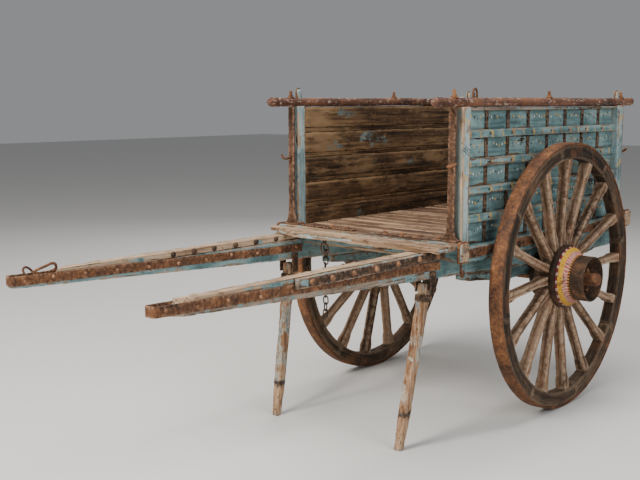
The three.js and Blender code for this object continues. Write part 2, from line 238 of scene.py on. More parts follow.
def cutAlong(piece, axis, step):
    # loops across the edges that run along an axis, about a step apart
    def span(edge):
        ends = [piece.data.vertices[i].co for i in edge.vertices]
        run = ends[1] - ends[0]
        if abs(run[axis]) < 0.8 * run.length:
            return None
        return tuple(sorted(round(end[axis], 3) for end in ends))

    for stretch in sorted({span(edge) for edge in piece.data.edges} - {None}):
        cuts = round((stretch[1] - stretch[0]) / step) - 1
        if cuts > 0:
            pick(piece, lambda edge: span(edge) == stretch)
            bpy.ops.mesh.subdivide(number_cuts=cuts)
            leave()


def wearEdges(piece, width, segments=2, sharp=35):
    edit(piece, "EDGE")
    bpy.ops.mesh.select_all(action="DESELECT")
    bpy.ops.mesh.edges_select_sharp(sharpness=math.radians(sharp))
    bpy.ops.mesh.bevel(offset=width, segments=segments, affect="EDGES", clamp_overlap=True)
    bpy.ops.object.vertex_group_assign_new()
    leave()
    piece.vertex_groups[-1].name = "worn"


def markWear(piece, smoothTo=24):
    # for the materials: 1 on worn edges, and a number of the piece's own
    mesh = piece.data
    group = piece.vertex_groups.get("worn")
    near = [float(bool(group and any(g.group == group.index for g in v.groups))) for v in mesh.vertices]
    mesh.attributes.new("edge", "FLOAT", "POINT").data.foreach_set("value", near)
    mesh.attributes.new("own", "FLOAT", "POINT").data.foreach_set("value", [random.random()] * len(near))
    piece.vertex_groups.clear()
    activate(piece)
    bpy.ops.object.shade_smooth_by_angle(angle=math.radians(smoothTo))
    return piece


def weathered(piece, grain, worn=0.003, along=0.022, across=0.016, chip=0.005, bend=0.004, dent=0.0012):
    for axis in range(3):
        cutAlong(piece, axis, along if axis == grain else across)
    wearEdges(piece, worn)
    if bend:
        roughen(piece, "bend", bend)
    roughen(piece, "dent", dent)
    roughen(piece, "chip", -chip, "worn", 0.36)
    return markWear(piece)


def plank(name, low, high, grain, **wear):
    return weathered(cubeBetween(name, low, high), grain, **wear)


def forged(piece, grain, worn=0.0016, along=0.03, across=0.02, pit=0.0012):
    for axis in range(3):
        cutAlong(piece, axis, along if axis == grain else across)
    wearEdges(piece, worn)
    roughen(piece, "dent", 0.0012)
    roughen(piece, "pit", pit)
    return markWear(piece)


def flatIron(name, low, high, grain, **wear):
    return forged(cubeBetween(name, low, high), grain, **wear)


def roundIron(piece, pit=0.0008):
    roughen(piece, "pit", pit)
    return markWear(piece, 50)


def dress(piece, material, body="cart", nodes=()):
    piece.data.materials.clear()
    piece.data.materials.append(material)
    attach(piece, body)
    if nodes:
        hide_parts(*nodes)
    return piece


# Shader maths: a socket with operators, and one method for every other node

class Field:
    def __init__(self, tree, socket):
        self.tree = tree
        self.socket = socket

    def node(self, kind, settings=None, inputs=None, out=0):
        made = self.tree.nodes.new(kind)
        for key, value in (settings or {}).items():
            if key == "stops":
                ramp = made.color_ramp.elements
                while len(ramp) < len(value):
                    ramp.new(1)
                for stop, (place, colour) in zip(ramp, value):
                    stop.position = place
                    stop.color = (*colour, 1)
            else:
                setattr(made, key, value)
        for key, value in (inputs or {}).items():
            if isinstance(value, Field):
                self.tree.links.new(value.socket, made.inputs[key])
            else:
                made.inputs[key].default_value = value
        return Field(self.tree, made.outputs[out])

    def maths(self, operation, first, second=0.0):
        return self.node("ShaderNodeMath", {"operation": operation}, {0: first, 1: second})

    def __add__(self, other):
        return self.maths("ADD", self, other)

    def __radd__(self, other):
        return self.maths("ADD", other, self)

    def __sub__(self, other):
        return self.maths("SUBTRACT", self, other)

    def __rsub__(self, other):
        return self.maths("SUBTRACT", other, self)

    def __mul__(self, other):
        return self.maths("MULTIPLY", self, other)

    def __rmul__(self, other):
        return self.maths("MULTIPLY", other, self)

    def __truediv__(self, other):
        return self.maths("DIVIDE", self, other)

    def __abs__(self):
        return self.maths("ABSOLUTE", self)


def noise(at, scale, detail=3, rough=0.55, distort=0.0):
    inputs = {"Vector": at, "Scale": scale, "Detail": detail, "Roughness": rough, "Distortion": distort}
    return at.node("ShaderNodeTexNoise", {}, inputs)


def stretched(at, scales):
    return at.node("ShaderNodeVectorMath", {"operation": "MULTIPLY"}, {0: at, 1: scales})


def moved(at, offset):
    return at.node("ShaderNodeVectorMath", {"operation": "ADD"}, {0: at, 1: offset})


def edgeStep(value, low, high):
    ends = {"Value": value, "From Min": low, "From Max": high}
    return value.node("ShaderNodeMapRange", {"interpolation_type": "SMOOTHSTEP"}, ends)


def mixed(amount, first, second):
    return amount.node("ShaderNodeMix", {"data_type": "RGBA"}, {"Factor": amount, 6: first, 7: second}, 2)


def shaded(amount, colour, tint):
    # colour multiplied by a tint
    return amount.node("ShaderNodeMix", {"data_type": "RGBA", "blend_type": "MULTIPLY"},
                       {"Factor": amount, 6: colour, 7: tint}, 2)


def tones(value, *stops):
    return value.node("ShaderNodeValToRGB", {"stops": stops}, {"Fac": value})


def wrapped(value, period):
    # distance from the nearest multiple of a period
    return abs(value.node("ShaderNodeMath", {"operation": "WRAP"}, {0: value, 1: period / 2, 2: -period / 2}))


def within(value, middle, half, soft=0.0006):
    return 1 - edgeStep(abs(value - middle), half - soft, half + soft)


def startMaterial(name):
    material = bpy.data.materials.new(name)
    material.use_nodes = True
    tree = material.node_tree
    first = tree.nodes.new("ShaderNodeTexCoord")
    at = Field(tree, first.outputs["Object"])
    edge = at.node("ShaderNodeAttribute", {"attribute_name": "edge"}, {}, 2)
    own = at.node("ShaderNodeAttribute", {"attribute_name": "own"}, {}, 2)
    return material, at, edge, own


def finishMaterial(material, colour, rough, height, metal=0.0, depth=0.002, strength=0.8):
    tree = material.node_tree
    surface = tree.nodes["Principled BSDF"]
    bump = height.node("ShaderNodeBump", {}, {"Height": height, "Distance": depth, "Strength": strength})
    for name, value in {"Base Color": colour, "Roughness": rough, "Metallic": metal, "Normal": bump}.items():
        if isinstance(value, Field):
            tree.links.new(value.socket, surface.inputs[name])
        else:
            surface.inputs[name].default_value = value
    surface.inputs["Specular IOR Level"].default_value = 0.3
    return material


# Finishes

woods = {  # dark, middle and pale tones of the bare grain
    "tan": [(0.045, 0.024, 0.013), (0.19, 0.112, 0.062), (0.43, 0.30, 0.195)],
    "grey": [(0.04, 0.026, 0.017), (0.14, 0.096, 0.066), (0.32, 0.25, 0.19)],
    "brown": [(0.016, 0.008, 0.004), (0.083, 0.044, 0.02), (0.22, 0.13, 0.062)],
    "floor": [(0.024, 0.012, 0.007), (0.105, 0.053, 0.027), (0.34, 0.22, 0.135)],
    "spoke": [(0.035, 0.018, 0.01), (0.135, 0.073, 0.04), (0.31, 0.195, 0.12)],
    "leg": [(0.04, 0.019, 0.01), (0.2, 0.098, 0.048), (0.42, 0.27, 0.16)],
    "felloe": [(0.016, 0.01, 0.006), (0.06, 0.037, 0.022), (0.16, 0.105, 0.066)],
}


def bareWood(at, own, edge, grain, tone, radial=None, stained=0.45):
    # grain: the axis it runs along
    shift = own.node("ShaderNodeVectorMath", {"operation": "SCALE"}, {0: (3.1, 7.7, 5.3), "Scale": own})
    place = moved(radial or at, shift)
    along = [1.0 if i == grain else 0.0 for i in range(3)]
    fibres = noise(stretched(place, [5 if a else 170 for a in along]), 1, 4, 0.65, 0.6)
    lines = noise(stretched(place, [1.6 if a else 52 for a in along]), 1, 3, 0.6, 0.8)
    patches = noise(stretched(place, [2.5 if a else 7 for a in along]), 1, 4, 0.6)
    splits = noise(stretched(place, [0.8 if a else 30 for a in along]), 1, 2, 0.5, 0.4)
    crack = (1 - edgeStep(abs(splits - 0.5), 0.0, 0.016)) * edgeStep(patches, 0.42, 0.56)
    value = lines * 0.45 + patches * 0.4 + fibres * 0.25 + edge * 0.1 + own * 0.13 - 0.115
    dark, middle, pale = woods[tone]
    colour = tones(value, (0.41, dark), (0.515, middle), (0.65, pale))
    stain = edgeStep(noise(place, 17, 5, 0.68), 0.53, 0.64)
    colour = mixed(stain * stained, colour, (*dark, 1))
    holes = at.node("ShaderNodeTexVoronoi", {}, {"Vector": place, "Scale": 21.0})
    hole = 1 - edgeStep(holes, 0.07, 0.11)
    colour = mixed((crack + hole).maths("MINIMUM", crack + hole, 1.0) * 0.9, colour, (0.010, 0.007, 0.005, 1))
    height = lines * 0.5 + fibres * 0.5 - crack * 1.5 - hole - stain * 0.2
    return colour, height, crack, fibres


def woodFinish(name, grain, tone):
    material, at, edge, own = startMaterial(name)
    colour, height, crack, fibres = bareWood(at, own, edge, grain, tone)
    dust = edgeStep(noise(at, 60, 4, 0.7), 0.6, 0.75)
    colour = mixed(dust * 0.25, colour, (0.42, 0.33, 0.25, 1))
    return finishMaterial(material, colour, 0.93 - fibres * 0.15, height)


rusts = {  # four tones from pitted to bright
    "rust": [(0.035, 0.016, 0.009), (0.11, 0.047, 0.022), (0.21, 0.088, 0.036), (0.40, 0.19, 0.085)],
    "dark": [(0.012, 0.008, 0.006), (0.042, 0.025, 0.016), (0.09, 0.046, 0.025), (0.2, 0.1, 0.05)],
    "brown": [(0.022, 0.012, 0.008), (0.07, 0.034, 0.019), (0.13, 0.06, 0.03), (0.28, 0.15, 0.08)],
    # head: a paler copy of the rust, a painted highlight for the light caught on the domed bolt heads
    "head": [(0.07, 0.032, 0.018), (0.2, 0.095, 0.048), (0.34, 0.185, 0.1), (0.52, 0.34, 0.21)],
}


def ironFinish(name, tone="rust"):
    # iron under old rust, with pits, bright flakes and dust
    material, at, edge, own = startMaterial(name)
    place = moved(at, own.node("ShaderNodeVectorMath", {"operation": "SCALE"}, {0: (2.3, 4.1, 6.7), "Scale": own}))
    broad = noise(place, 10, 5, 0.65)
    fine = noise(place, 62, 5, 0.7)
    value = broad * 0.55 + fine * 0.45
    stops = zip((0.38, 0.485, 0.57, 0.67), rusts[tone])
    colour = tones(value, *stops)
    flakes = edgeStep(noise(place, 85, 3, 0.65), 0.64, 0.71)
    colour = mixed(flakes * 0.3, colour, (0.44, 0.29, 0.18, 1))
    pits = edgeStep(noise(place, 40, 4, 0.7), 0.6, 0.68)
    colour = mixed(pits * 0.45, colour, (0.015, 0.009, 0.006, 1))
    colour = mixed(edge * edgeStep(fine, 0.45, 0.58) * 0.4, colour, (0.36, 0.23, 0.15, 1))
    rough = edgeStep(value, 0.3, 0.65) * 0.35 + 0.55
    return finishMaterial(material, colour, rough, value + fine * 0.6 - pits * 0.5, metal=0.2, depth=0.002)


paints = {  # deep, body and faded tones of each paint
    "blue": [(0.038, 0.074, 0.076), (0.105, 0.188, 0.193), (0.23, 0.335, 0.33)],
    "pale": [(0.085, 0.125, 0.125), (0.2, 0.285, 0.29), (0.38, 0.455, 0.44)],
    "cream": [(0.085, 0.1, 0.1), (0.235, 0.25, 0.235), (0.46, 0.42, 0.34)],
    "rail": [(0.03, 0.014, 0.009), (0.088, 0.035, 0.021), (0.18, 0.08, 0.046)],
}


def paintCoat(at, own, edge, grain, wood, paint, wear):
    # old paint over bare wood, gone from the edges and in flakes that follow the grain
    bare, height, crack, fibres = wood
    place = moved(at, own.node("ShaderNodeVectorMath", {"operation": "SCALE"}, {0: (9.1, 3.7, 1.3), "Scale": own}))
    along = [1.0 if i == grain else 0.0 for i in range(3)]
    flakes = noise(stretched(place, [9 if a else 34 for a in along]), 1, 6, 0.68)
    patches = noise(place, 4.2, 3, 0.55)
    loss = flakes * 0.55 + patches * 0.45 + edge * noise(place, 30, 4, 0.7) * 0.3
    gone = edgeStep(loss, wear, wear + 0.035)
    thin = edgeStep(loss, wear - 0.07, wear)
    deep, body, faded = paints[paint]
    streaks = noise(stretched(place, [3 if a else 45 for a in along]), 1, 3, 0.6)
    coat = tones(patches * 0.5 + streaks * 0.5 + own * 0.06, (0.36, deep), (0.5, body), (0.64, faded))
    coat = mixed(thin * 0.6, coat, (*faded, 1))
    grime = edgeStep(noise(place, 24, 5, 0.72), 0.52, 0.66)
    coat = mixed(grime * 0.5, coat, (0.045, 0.035, 0.026, 1))
    specks = edgeStep(noise(place, 75, 3, 0.6), 0.64, 0.7)
    coat = mixed(specks * 0.7, coat, (0.05, 0.028, 0.016, 1))
    return coat, gone, (1 - gone) * 0.7 + height * (gone * 0.6 + 0.25), place


def paintedFinish(name, grain, paint="blue", tone="grey", wear=0.56, ornament=None, bareSide=None, tint=None):
    material, at, edge, own = startMaterial(name)
    wood = bareWood(at, own, edge, grain, tone)
    if tint:
        wood = (tint(at, wood[0]), *wood[1:])
    coat, gone, height, place = paintCoat(at, own, edge, grain, wood, paint, wear)
    if ornament:
        coat = ornament(at, own, coat)
    if bareSide:
        gone = bareSide(at, place, gone)
    colour = mixed(gone, coat, wood[0])
    rough = 0.7 + gone * 0.22
    return finishMaterial(material, colour, rough, height)


def parts(at):
    split = at.node("ShaderNodeSeparateXYZ", {}, {0: at})
    sockets = split.socket.node.outputs
    return [Field(at.tree, sockets[i]) for i in range(3)]


yellow = (0.62, 0.36, 0.05, 1)
ochre = (0.42, 0.19, 0.05, 1)
whiting = (0.6, 0.6, 0.54, 1)
navy = (0.016, 0.03, 0.042, 1)


def boardDots(at, own, coat):
    # rows of small dots across each bay of the boards
    x, y, z = parts(at)
    pitch, bay = 0.026, 0.133
    rowTop = 1.535
    inRow = wrapped(z - rowTop, bay)
    upDown = wrapped(y, 4 * pitch) / (2 * pitch)  # 0 to 1 and back along the row
    lift = (upDown - 0.5) * 0.014
    nearRow = z.node("ShaderNodeMath", {"operation": "WRAP"}, {0: z - rowTop, 1: bay / 2, 2: -bay / 2})
    across = wrapped(y, pitch)
    reach = across * across + (nearRow - lift) * (nearRow - lift)
    spot = 1 - edgeStep(reach, 0.0045 ** 2, 0.0068 ** 2)
    which = noise(stretched(at, (0, 1 / pitch, 1 / bay)), 1.0, 0)
    tint = tones(which, (0.42, navy[:3]), (0.45, whiting[:3]), (0.52, whiting[:3]), (0.55, yellow[:3]))
    rub = edgeStep(noise(at, 55, 4, 0.7), 0.5, 0.62)
    bays = edgeStep(wrapped(y, 0.2), 0.018, 0.022) * edgeStep(inRow, 0.03, 0.02)
    return mixed(spot * (1 - rub) * bays, coat, tint)


def battenStrokes(at, own, coat):
    # short yellow and ochre strokes, some of them leaning
    x, y, z = parts(at)
    bar = z.node("ShaderNodeMath", {"operation": "WRAP"}, {0: z - 1.458, 1: 0.0665, 2: -0.0665})
    which = noise(stretched(at, (0, 10, 7.5)), 1.0, 0)
    lean = (edgeStep(which, 0.47, 0.48) - edgeStep(which, 0.56, 0.57)) * 0.7
    slid = y + bar * lean
    stroke = within(wrapped(slid, 0.1), 0, 0.004, 0.0008)
    second = within(wrapped(slid - 0.012, 0.2), 0, 0.0035, 0.0008)
    rub = edgeStep(noise(at, 70, 4, 0.7), 0.5, 0.62)
    tint = mixed(edgeStep(noise(at, 12, 1), 0.5, 0.56), yellow, ochre)
    return mixed((stroke + second) * (1 - rub * 0.8), coat, tint)


def postStripesAndShade(at, own, coat):
    # slanting stripes in three places down the outer face of each post, and painted shade on the end faces of the left
    # side's posts
    x, y, z = parts(at)
    slid = z - abs(y - axleAt.y) * 0.62 + 0.515
    group = slid - 1.525
    stripes = within(group, 0, 0.004) + within(group, -0.014, 0.0035) + within(group, -0.262, 0.004)
    stripes = stripes + within(group, -0.276, 0.003)
    lines = within(group, -0.125, 0.0028) + within(group, -0.138, 0.0028) + within(group, -0.152, 0.0028)
    outer = edgeStep(abs(x), 0.538, 0.5385)
    rub = edgeStep(noise(at, 60, 4, 0.7), 0.5, 0.64)
    # painted shade: on the left side, the front posts' front faces and the rear posts' rear faces are darkened to a
    # grey-green
    front = edgeStep(abs(y - axleAt.y), 0.853, 0.855) * edgeStep(x, 0.0, 0.1)
    coat = mixed(front * 0.75, coat, (0.115, 0.125, 0.1, 1))
    coat = mixed(stripes * outer * (1 - rub), coat, yellow)
    return mixed(lines * outer * (1 - rub), coat, navy)


def beamEnds(at, own, coat):
    # grey end grain, with a dab of yellow on the left front end
    x, y, z = parts(at)
    end = edgeStep(abs(x), 0.5805, 0.5825)
    coat = mixed(end * 0.85, coat, (0.15, 0.135, 0.105, 1))
    across, up = y - (axleAt.y - 0.893), z - 0.945
    dab = 1 - edgeStep(across * across + up * up, 0.00004, 0.00009)
    return mixed(dab * end * edgeStep(x, 0.0, 0.1), coat, (0.5, 0.4, 0.03, 1))


def railScratches(at, own, coat):
    # pale scratches and orange rust on the round rails
    rust = edgeStep(noise(at, 13, 5, 0.65), 0.52, 0.64)
    coat = mixed(rust * 0.7, coat, (0.19, 0.078, 0.034, 1))
    pale = edgeStep(noise(stretched(at, (70, 30, 70)), 1, 4, 0.7), 0.575, 0.63)
    return mixed(pale * 0.75, coat, (0.45, 0.36, 0.29, 1))


def legStreaks(at, own, coat):
    # brown runs down the legs and a dark ring above each foot
    x, y, z = parts(at)
    runs = edgeStep(noise(stretched(at, (40, 40, 4)), 1, 5, 0.68), 0.5, 0.58)
    coat = mixed(runs * 0.8, coat, (0.19, 0.085, 0.04, 1))
    ring = within(z + noise(at, 30, 3) * 0.05, 0.195, 0.014, 0.012)
    return mixed(ring * 0.9, coat, (0.022, 0.014, 0.009, 1))


def legTint(at, colour):
    x, y, z = parts(at)
    ring = within(z + noise(at, 30, 3) * 0.05, 0.195, 0.014, 0.012)
    return mixed(ring * 0.9, colour, (0.022, 0.014, 0.009, 1))


def planksTint(at, colour):
    # inside the box: tan patches in the bare wood, more of them towards the front top and the rear
    x, y, z = parts(at)
    ends = edgeStep(y, axleAt.y - 0.45, axleAt.y - 0.8) * edgeStep(z, 1.3, 1.55) * 0.09
    ends = ends + edgeStep(y, axleAt.y + 0.2, axleAt.y + 0.75) * 0.07
    tanPatches = edgeStep(noise(stretched(at, (5, 1.7, 7)), 1, 5, 0.66) + ends, 0.54, 0.66)
    colour = mixed(tanPatches * 0.65, colour, (0.29, 0.18, 0.09, 1))
    soot = edgeStep(noise(stretched(at, (9, 2.4, 22)), 1, 5, 0.66), 0.53, 0.63)
    colour = mixed(soot * 0.5, colour, (0.02, 0.011, 0.006, 1))
    flecks = edgeStep(noise(at, 70, 3, 0.6), 0.63, 0.69)
    return mixed(flecks * 0.6, colour, (0.3, 0.15, 0.06, 1))


def topBare(level):
    # bare above a level, but for a few remnants
    def side(at, place, gone):
        x, y, z = parts(at)
        top = edgeStep(z + noise(place, 26, 3) * 0.012 - 0.006, level - 0.002, level + 0.002)
        remnant = edgeStep(noise(stretched(place, (9, 9, 9)), 1, 6, 0.7), 0.55, 0.61)
        return gone.maths("MAXIMUM", gone, top * (1 - remnant * 0.8))
    return side


def insideBare(at, place, gone):
    # boards painted outside only, with a few remnants inside
    x, y, z = parts(at)
    inside = 1 - edgeStep(abs(x), 0.488, 0.4895)
    front = edgeStep(y, axleAt.y - 0.5, axleAt.y - 0.8) * edgeStep(z, 1.35, 1.55) * 0.07
    remnant = edgeStep(noise(stretched(place, (5, 2.2, 5)), 1, 6, 0.68) + front, 0.61, 0.68)
    kept = inside * (1 - remnant * 0.6)
    return gone.maths("MAXIMUM", gone, kept)


def naveFinish(name, hand):
    # rings of red, white, yellow and pink round the bell of the nave
    material, at, edge, own = startMaterial(name)
    x, y, z = parts(moved(at, -rimAt[hand]))
    out = abs(x)
    angle = z.node("ShaderNodeMath", {"operation": "ARCTAN2"}, {0: z, 1: y}) / (2 * math.pi)
    turn = angle * 24
    fit = noise(at, 26, 3) * 0.007 - 0.0035
    ring = out + fit
    petal = within(wrapped(turn + noise(at, 18, 1) * 0.5, 1), 0.5, 0.2, 0.05)
    edgeRing = mixed(petal, (0.16, 0.007, 0.012, 1), (0.5, 0.36, 0.31, 1))
    gold = mixed(noise(at, 22, 3), (0.6, 0.28, 0.008, 1), (0.72, 0.42, 0.03, 1))
    spokesOfGold = within(wrapped(turn * 1.5, 1), 0, 0.04, 0.03)
    gold = mixed(spokesOfGold * 0.5, gold, (0.16, 0.05, 0.01, 1))
    rays = wrapped(turn * 2 + noise(at, 34, 3) * 2.2, 1)
    pink = mixed(edgeStep(rays, 0.2, 0.36), (0.45, 0.11, 0.075, 1), (0.56, 0.38, 0.32, 1))
    beads = mixed(edgeStep(wrapped(turn * 2, 1), 0.2, 0.3), (0.02, 0.012, 0.01, 1), (0.55, 0.22, 0.03, 1))
    colour = mixed(edgeStep(ring, 0.0305, 0.0315), (0.11, 0.007, 0.01, 1), edgeRing)
    colour = mixed(edgeStep(ring, 0.0385, 0.04), colour, gold)
    colour = mixed(edgeStep(ring, 0.0575, 0.059), colour, pink)
    colour = mixed(edgeStep(ring, 0.0775, 0.079), colour, beads)
    wear = edgeStep(noise(at, 30, 6, 0.72) * 0.75 + noise(at, 8, 2) * 0.25, 0.53, 0.59)
    # dark patches of dirt all round, and the nave darker towards its bottom
    lower = edgeStep(z * -1, -0.02, 0.15)
    dirtAndLowerDark = edgeStep(noise(at, 20, 5, 0.7), 0.48, 0.66) * 0.35 + lower * 0.4
    colour = mixed(wear * 0.75, colour, (0.1, 0.05, 0.028, 1))
    colour = mixed(dirtAndLowerDark, colour, (0.06, 0.03, 0.018, 1))
    height = (1 - wear) * 0.6 + noise(at, 120, 3) * 0.3
    return finishMaterial(material, colour, 0.6 + wear * 0.3, height, depth=0.0012)


def spokeFinish(name, hand, tone):
    # grain that runs out from the hub, read round the wheel's centre
    material, at, edge, own = startMaterial(name)
    centred = moved(at, -rimAt[hand])
    x, y, z = parts(centred)
    radius = (y * y + z * z).maths("SQRT", y * y + z * z)
    angle = z.node("ShaderNodeMath", {"operation": "ARCTAN2"}, {0: z, 1: y})
    if tone == "felloe":
        fold = at.node("ShaderNodeCombineXYZ", {}, {0: x, 1: angle * 0.65, 2: radius})
    else:
        fold = at.node("ShaderNodeCombineXYZ", {}, {0: x, 1: radius, 2: angle * 0.3})
    stained = 0.1 if tone == "spoke" else 0.45
    colour, height, crack, fibres = bareWood(at, own, edge, 1, tone, fold, stained)
    stain = edgeStep(noise(at, 7, 4, 0.6), 0.52, 0.68)
    colour = mixed(stain * 0.35, colour, (0.24, 0.095, 0.04, 1))
    # pale along the worn edges, much more on the spokes than on the felloes: worn wood, and also a painted highlight
    # along the spokes' edges
    pale = 0.55 if tone == "spoke" else 0.12
    colour = mixed(edge * edgeStep(noise(at, 40, 4, 0.7), 0.42, 0.6) * pale, colour, (0.5, 0.37, 0.26, 1))
    return finishMaterial(material, colour, 0.9, height)


finishes = {
    "footboard": paintedFinish("footboard_paint", 0, "pale", "tan", 0.53, bareSide=topBare(0.957)),
    "floor": woodFinish("floor_wood", 0, "floor"),
    "cap": paintedFinish("cap_paint", 1, "blue", "tan", 0.53, bareSide=topBare(0.928)),
    "darkWood": woodFinish("dark_wood", 1, "brown"),
    "shaft": paintedFinish("shaft_paint", 1, "blue", "grey", 0.59),
    "sill": paintedFinish("sill_paint", 1, "blue", "grey", 0.58),
    "cross": paintedFinish("cross_beam_paint", 0, "blue", "tan", 0.55, beamEnds, topBare(0.957)),
    "post": paintedFinish("post_paint", 2, "pale", "tan", 0.585, postStripesAndShade),
    "board": paintedFinish("board_paint", 1, "blue", "brown", 0.6, boardDots, insideBare, planksTint),
    "batten": paintedFinish("batten_paint", 1, "blue", "grey", 0.63, battenStrokes),
    "prop": paintedFinish("prop_paint", 2, "cream", "leg", 0.6, legStreaks, tint=legTint),
    "rail": paintedFinish("rail_paint", 1, "rail", "tan", 0.63, railScratches),
    "rust": ironFinish("rust"),
    "iron": ironFinish("dark_iron", "dark"),
    "brown": ironFinish("brown_iron", "brown"),
    # paler rust on the bolt and nail heads: a painted highlight
    "head": ironFinish("bolt_heads_highlit", "head"),
}
print("finishes ready:", len(finishes))


# Bolts and nails: one of each, copied to its places and joined

boltShape = {"radius": 0.0135, "high": 0.011, "sides": 10}
nailShape = {"radius": 0.0045, "high": 0.003, "sides": 6}


def studAt(shape, place, facing):
    # a domed head on a face, seated 1 mm into it
    r, h = shape["radius"], shape["high"]
    head = turned("head", Vector(), 2, [(-0.001, r), (h * 0.45, r), (h * 0.85, r * 0.7), (h, r * 0.3)], shape["sides"])
    turn = Vector((0, 0, 1)).rotation_difference(Vector(facing)).to_matrix().to_4x4()
    head.data.transform(Matrix.Translation(place) @ turn)
    return head


def studs(name, shape, places, material, body="cart"):
    # places: a point and the way the face looks
    first = studAt(shape, *places[0])
    model = studAt(shape, (0, 0, 0), (0, 0, 1))
    heads = [first]
    for place, facing in places[1:]:
        turn = Vector((0, 0, 1)).rotation_difference(Vector(facing)).to_matrix().to_4x4()
        spin = Matrix.Rotation(random.uniform(0, math.pi), 4, "Z")
        heads.append(copyOf(model, "head", Matrix.Translation(place) @ turn @ spin))
    bpy.data.objects.remove(model)
    piece = joinAs(name, heads)
    roundIron(piece, 0.0008)
    return dress(piece, material, body)


# Shafts, with their caps, irons and cheeks

shaftForm = {"wide": 0.076, "tipWide": 0.044, "taperFrom": 0.930, "tip": 2.610,
             "bottoms": (0.878, 0.796, 0.752)}  # undersides at the tip, the taper and the axle
strapForm = {"high": 0.040, "thick": 0.006, "rear": 0.928, "midTip": 0.908, "midRear": 0.857}


def shaftWideAt(front):
    share = min(max((front - shaftForm["taperFrom"]) / (shaftForm["tip"] - shaftForm["taperFrom"]), 0), 1)
    return shaftForm["wide"] + (shaftForm["tipWide"] - shaftForm["wide"]) * share


def shaftBottomAt(front):
    tip, taper, axle = shaftForm["bottoms"]
    if front > shaftForm["taperFrom"]:
        share = (front - shaftForm["taperFrom"]) / (shaftForm["tip"] - shaftForm["taperFrom"])
        return taper + (tip - taper) * share
    return axle + (taper - axle) * max(front, 0) / shaftForm["taperFrom"]


def ahead(front):
    return axleAt.y - front


def makeShaft(hand, side):
    low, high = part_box(f"shaft_{hand}")
    x = (low.x + high.x) / 2
    tip = axleAt.y - low.y
    fronts = [tip, shaftForm["taperFrom"], 0, axleAt.y - high.y]
    body = beamThrough(f"shaft_{hand}_timber", [
        (ahead(f), x, shaftWideAt(f), shaftBottomAt(f), high.z) for f in fronts])
    if hand == "left":  # rotted back inside its iron
        splitEnd(body, side, low.y, 0.895)
    weathered(body, 1, worn=0.004, chip=0.006, bend=0.003)
    dress(body, finishes["shaft"], nodes=[f"shaft_{hand}"])

    low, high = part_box(f"shaft_cap_{hand}")
    fronts = [axleAt.y - low.y, shaftForm["taperFrom"], axleAt.y - high.y]
    cap = beamThrough(f"shaft_{hand}_cap", [
        (ahead(f), x, shaftWideAt(f), low.z, high.z) for f in fronts])
    splitEnd(cap, side, low.y, 0.92)
    weathered(cap, 1, worn=0.004, chip=0.009, bend=0.004, dent=0.003)
    dress(cap, finishes["cap"], nodes=[f"shaft_cap_{hand}"])


def splitEnd(piece, side, front, level):
    # the tip has split away on a slant
    edit(piece, "FACE")
    bpy.ops.mesh.select_all(action="SELECT")
    x = sum(corner[0] for corner in piece.bound_box) / 8
    bpy.ops.mesh.bisect(plane_co=(x, front + 0.03, level), plane_no=(0.75 * side, -0.6, 0.28),
                        use_fill=True, clear_outer=True)
    leave()


def makeShaftIron(hand, side):
    # two straps along the shaft's sides, bent round its tip: a plan outline swept by extruding a strip
    low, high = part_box(f"shaft_iron_{hand}")
    x = (low.x + high.x) / 2
    gap = 0.0003

    def half(front):
        return shaftWideAt(front) / 2 + gap + strapForm["thick"] / 2

    def middle(front):
        share = (front - strapForm["rear"]) / (shaftForm["tip"] - strapForm["rear"])
        return strapForm["midRear"] + (strapForm["midTip"] - strapForm["midRear"]) * share

    tip = shaftForm["tip"] - strapForm["thick"] / 2
    rear, bendRadius = strapForm["rear"], 0.012
    route = [(-half(rear), rear)]
    for step in range(0, 7):
        angle = math.pi / 2 * step / 6
        route.append((-half(tip) + bendRadius * (1 - math.cos(angle)), tip - bendRadius * (1 - math.sin(angle))))
    route += [(-across, front) for across, front in reversed(route)]
    clearSelection()
    bpy.ops.mesh.primitive_circle_add(vertices=len(route), radius=1)
    piece = newPiece(f"shaft_{hand}_strap")
    for vertex, (across, front) in zip(piece.data.vertices, route):
        vertex.co = (x + across, ahead(front), middle(front) - strapForm["high"] / 2)
    pick(piece, lambda edge: set(edge.vertices) == {0, len(route) - 1})
    bpy.ops.mesh.delete(type="EDGE")
    bpy.ops.mesh.select_all(action="SELECT")
    bpy.ops.mesh.extrude_region_move(TRANSFORM_OT_translate={"value": (0, 0, strapForm["high"])})
    bpy.ops.mesh.select_all(action="SELECT")
    bpy.ops.mesh.normals_make_consistent(inside=False)
    leave()
    thick = piece.modifiers.new("thick", "SOLIDIFY")
    thick.thickness = strapForm["thick"]
    thick.offset = 0
    activate(piece)
    bpy.ops.object.modifier_apply(modifier=thick.name)
    forged(piece, 1, pit=0.0016, across=0.013)
    dress(piece, finishes["rust"], nodes=[f"shaft_iron_{hand}"])

    places = []
    for front in [2.56, 2.42, 2.27, 2.11, 1.94, 1.77, 1.6, 1.43, 1.26, 1.1, 0.97]:
        for way in (-1, 1):
            wobble = random.uniform(-0.006, 0.006)
            out = half(front) + strapForm["thick"] / 2
            places.append(((x + way * out, ahead(front + wobble), middle(front) + wobble), (way, 0, 0)))
    studs(f"shaft_{hand}_strap_nails", {"radius": 0.0085, "high": 0.006, "sides": 8}, places,
          finishes["head"])


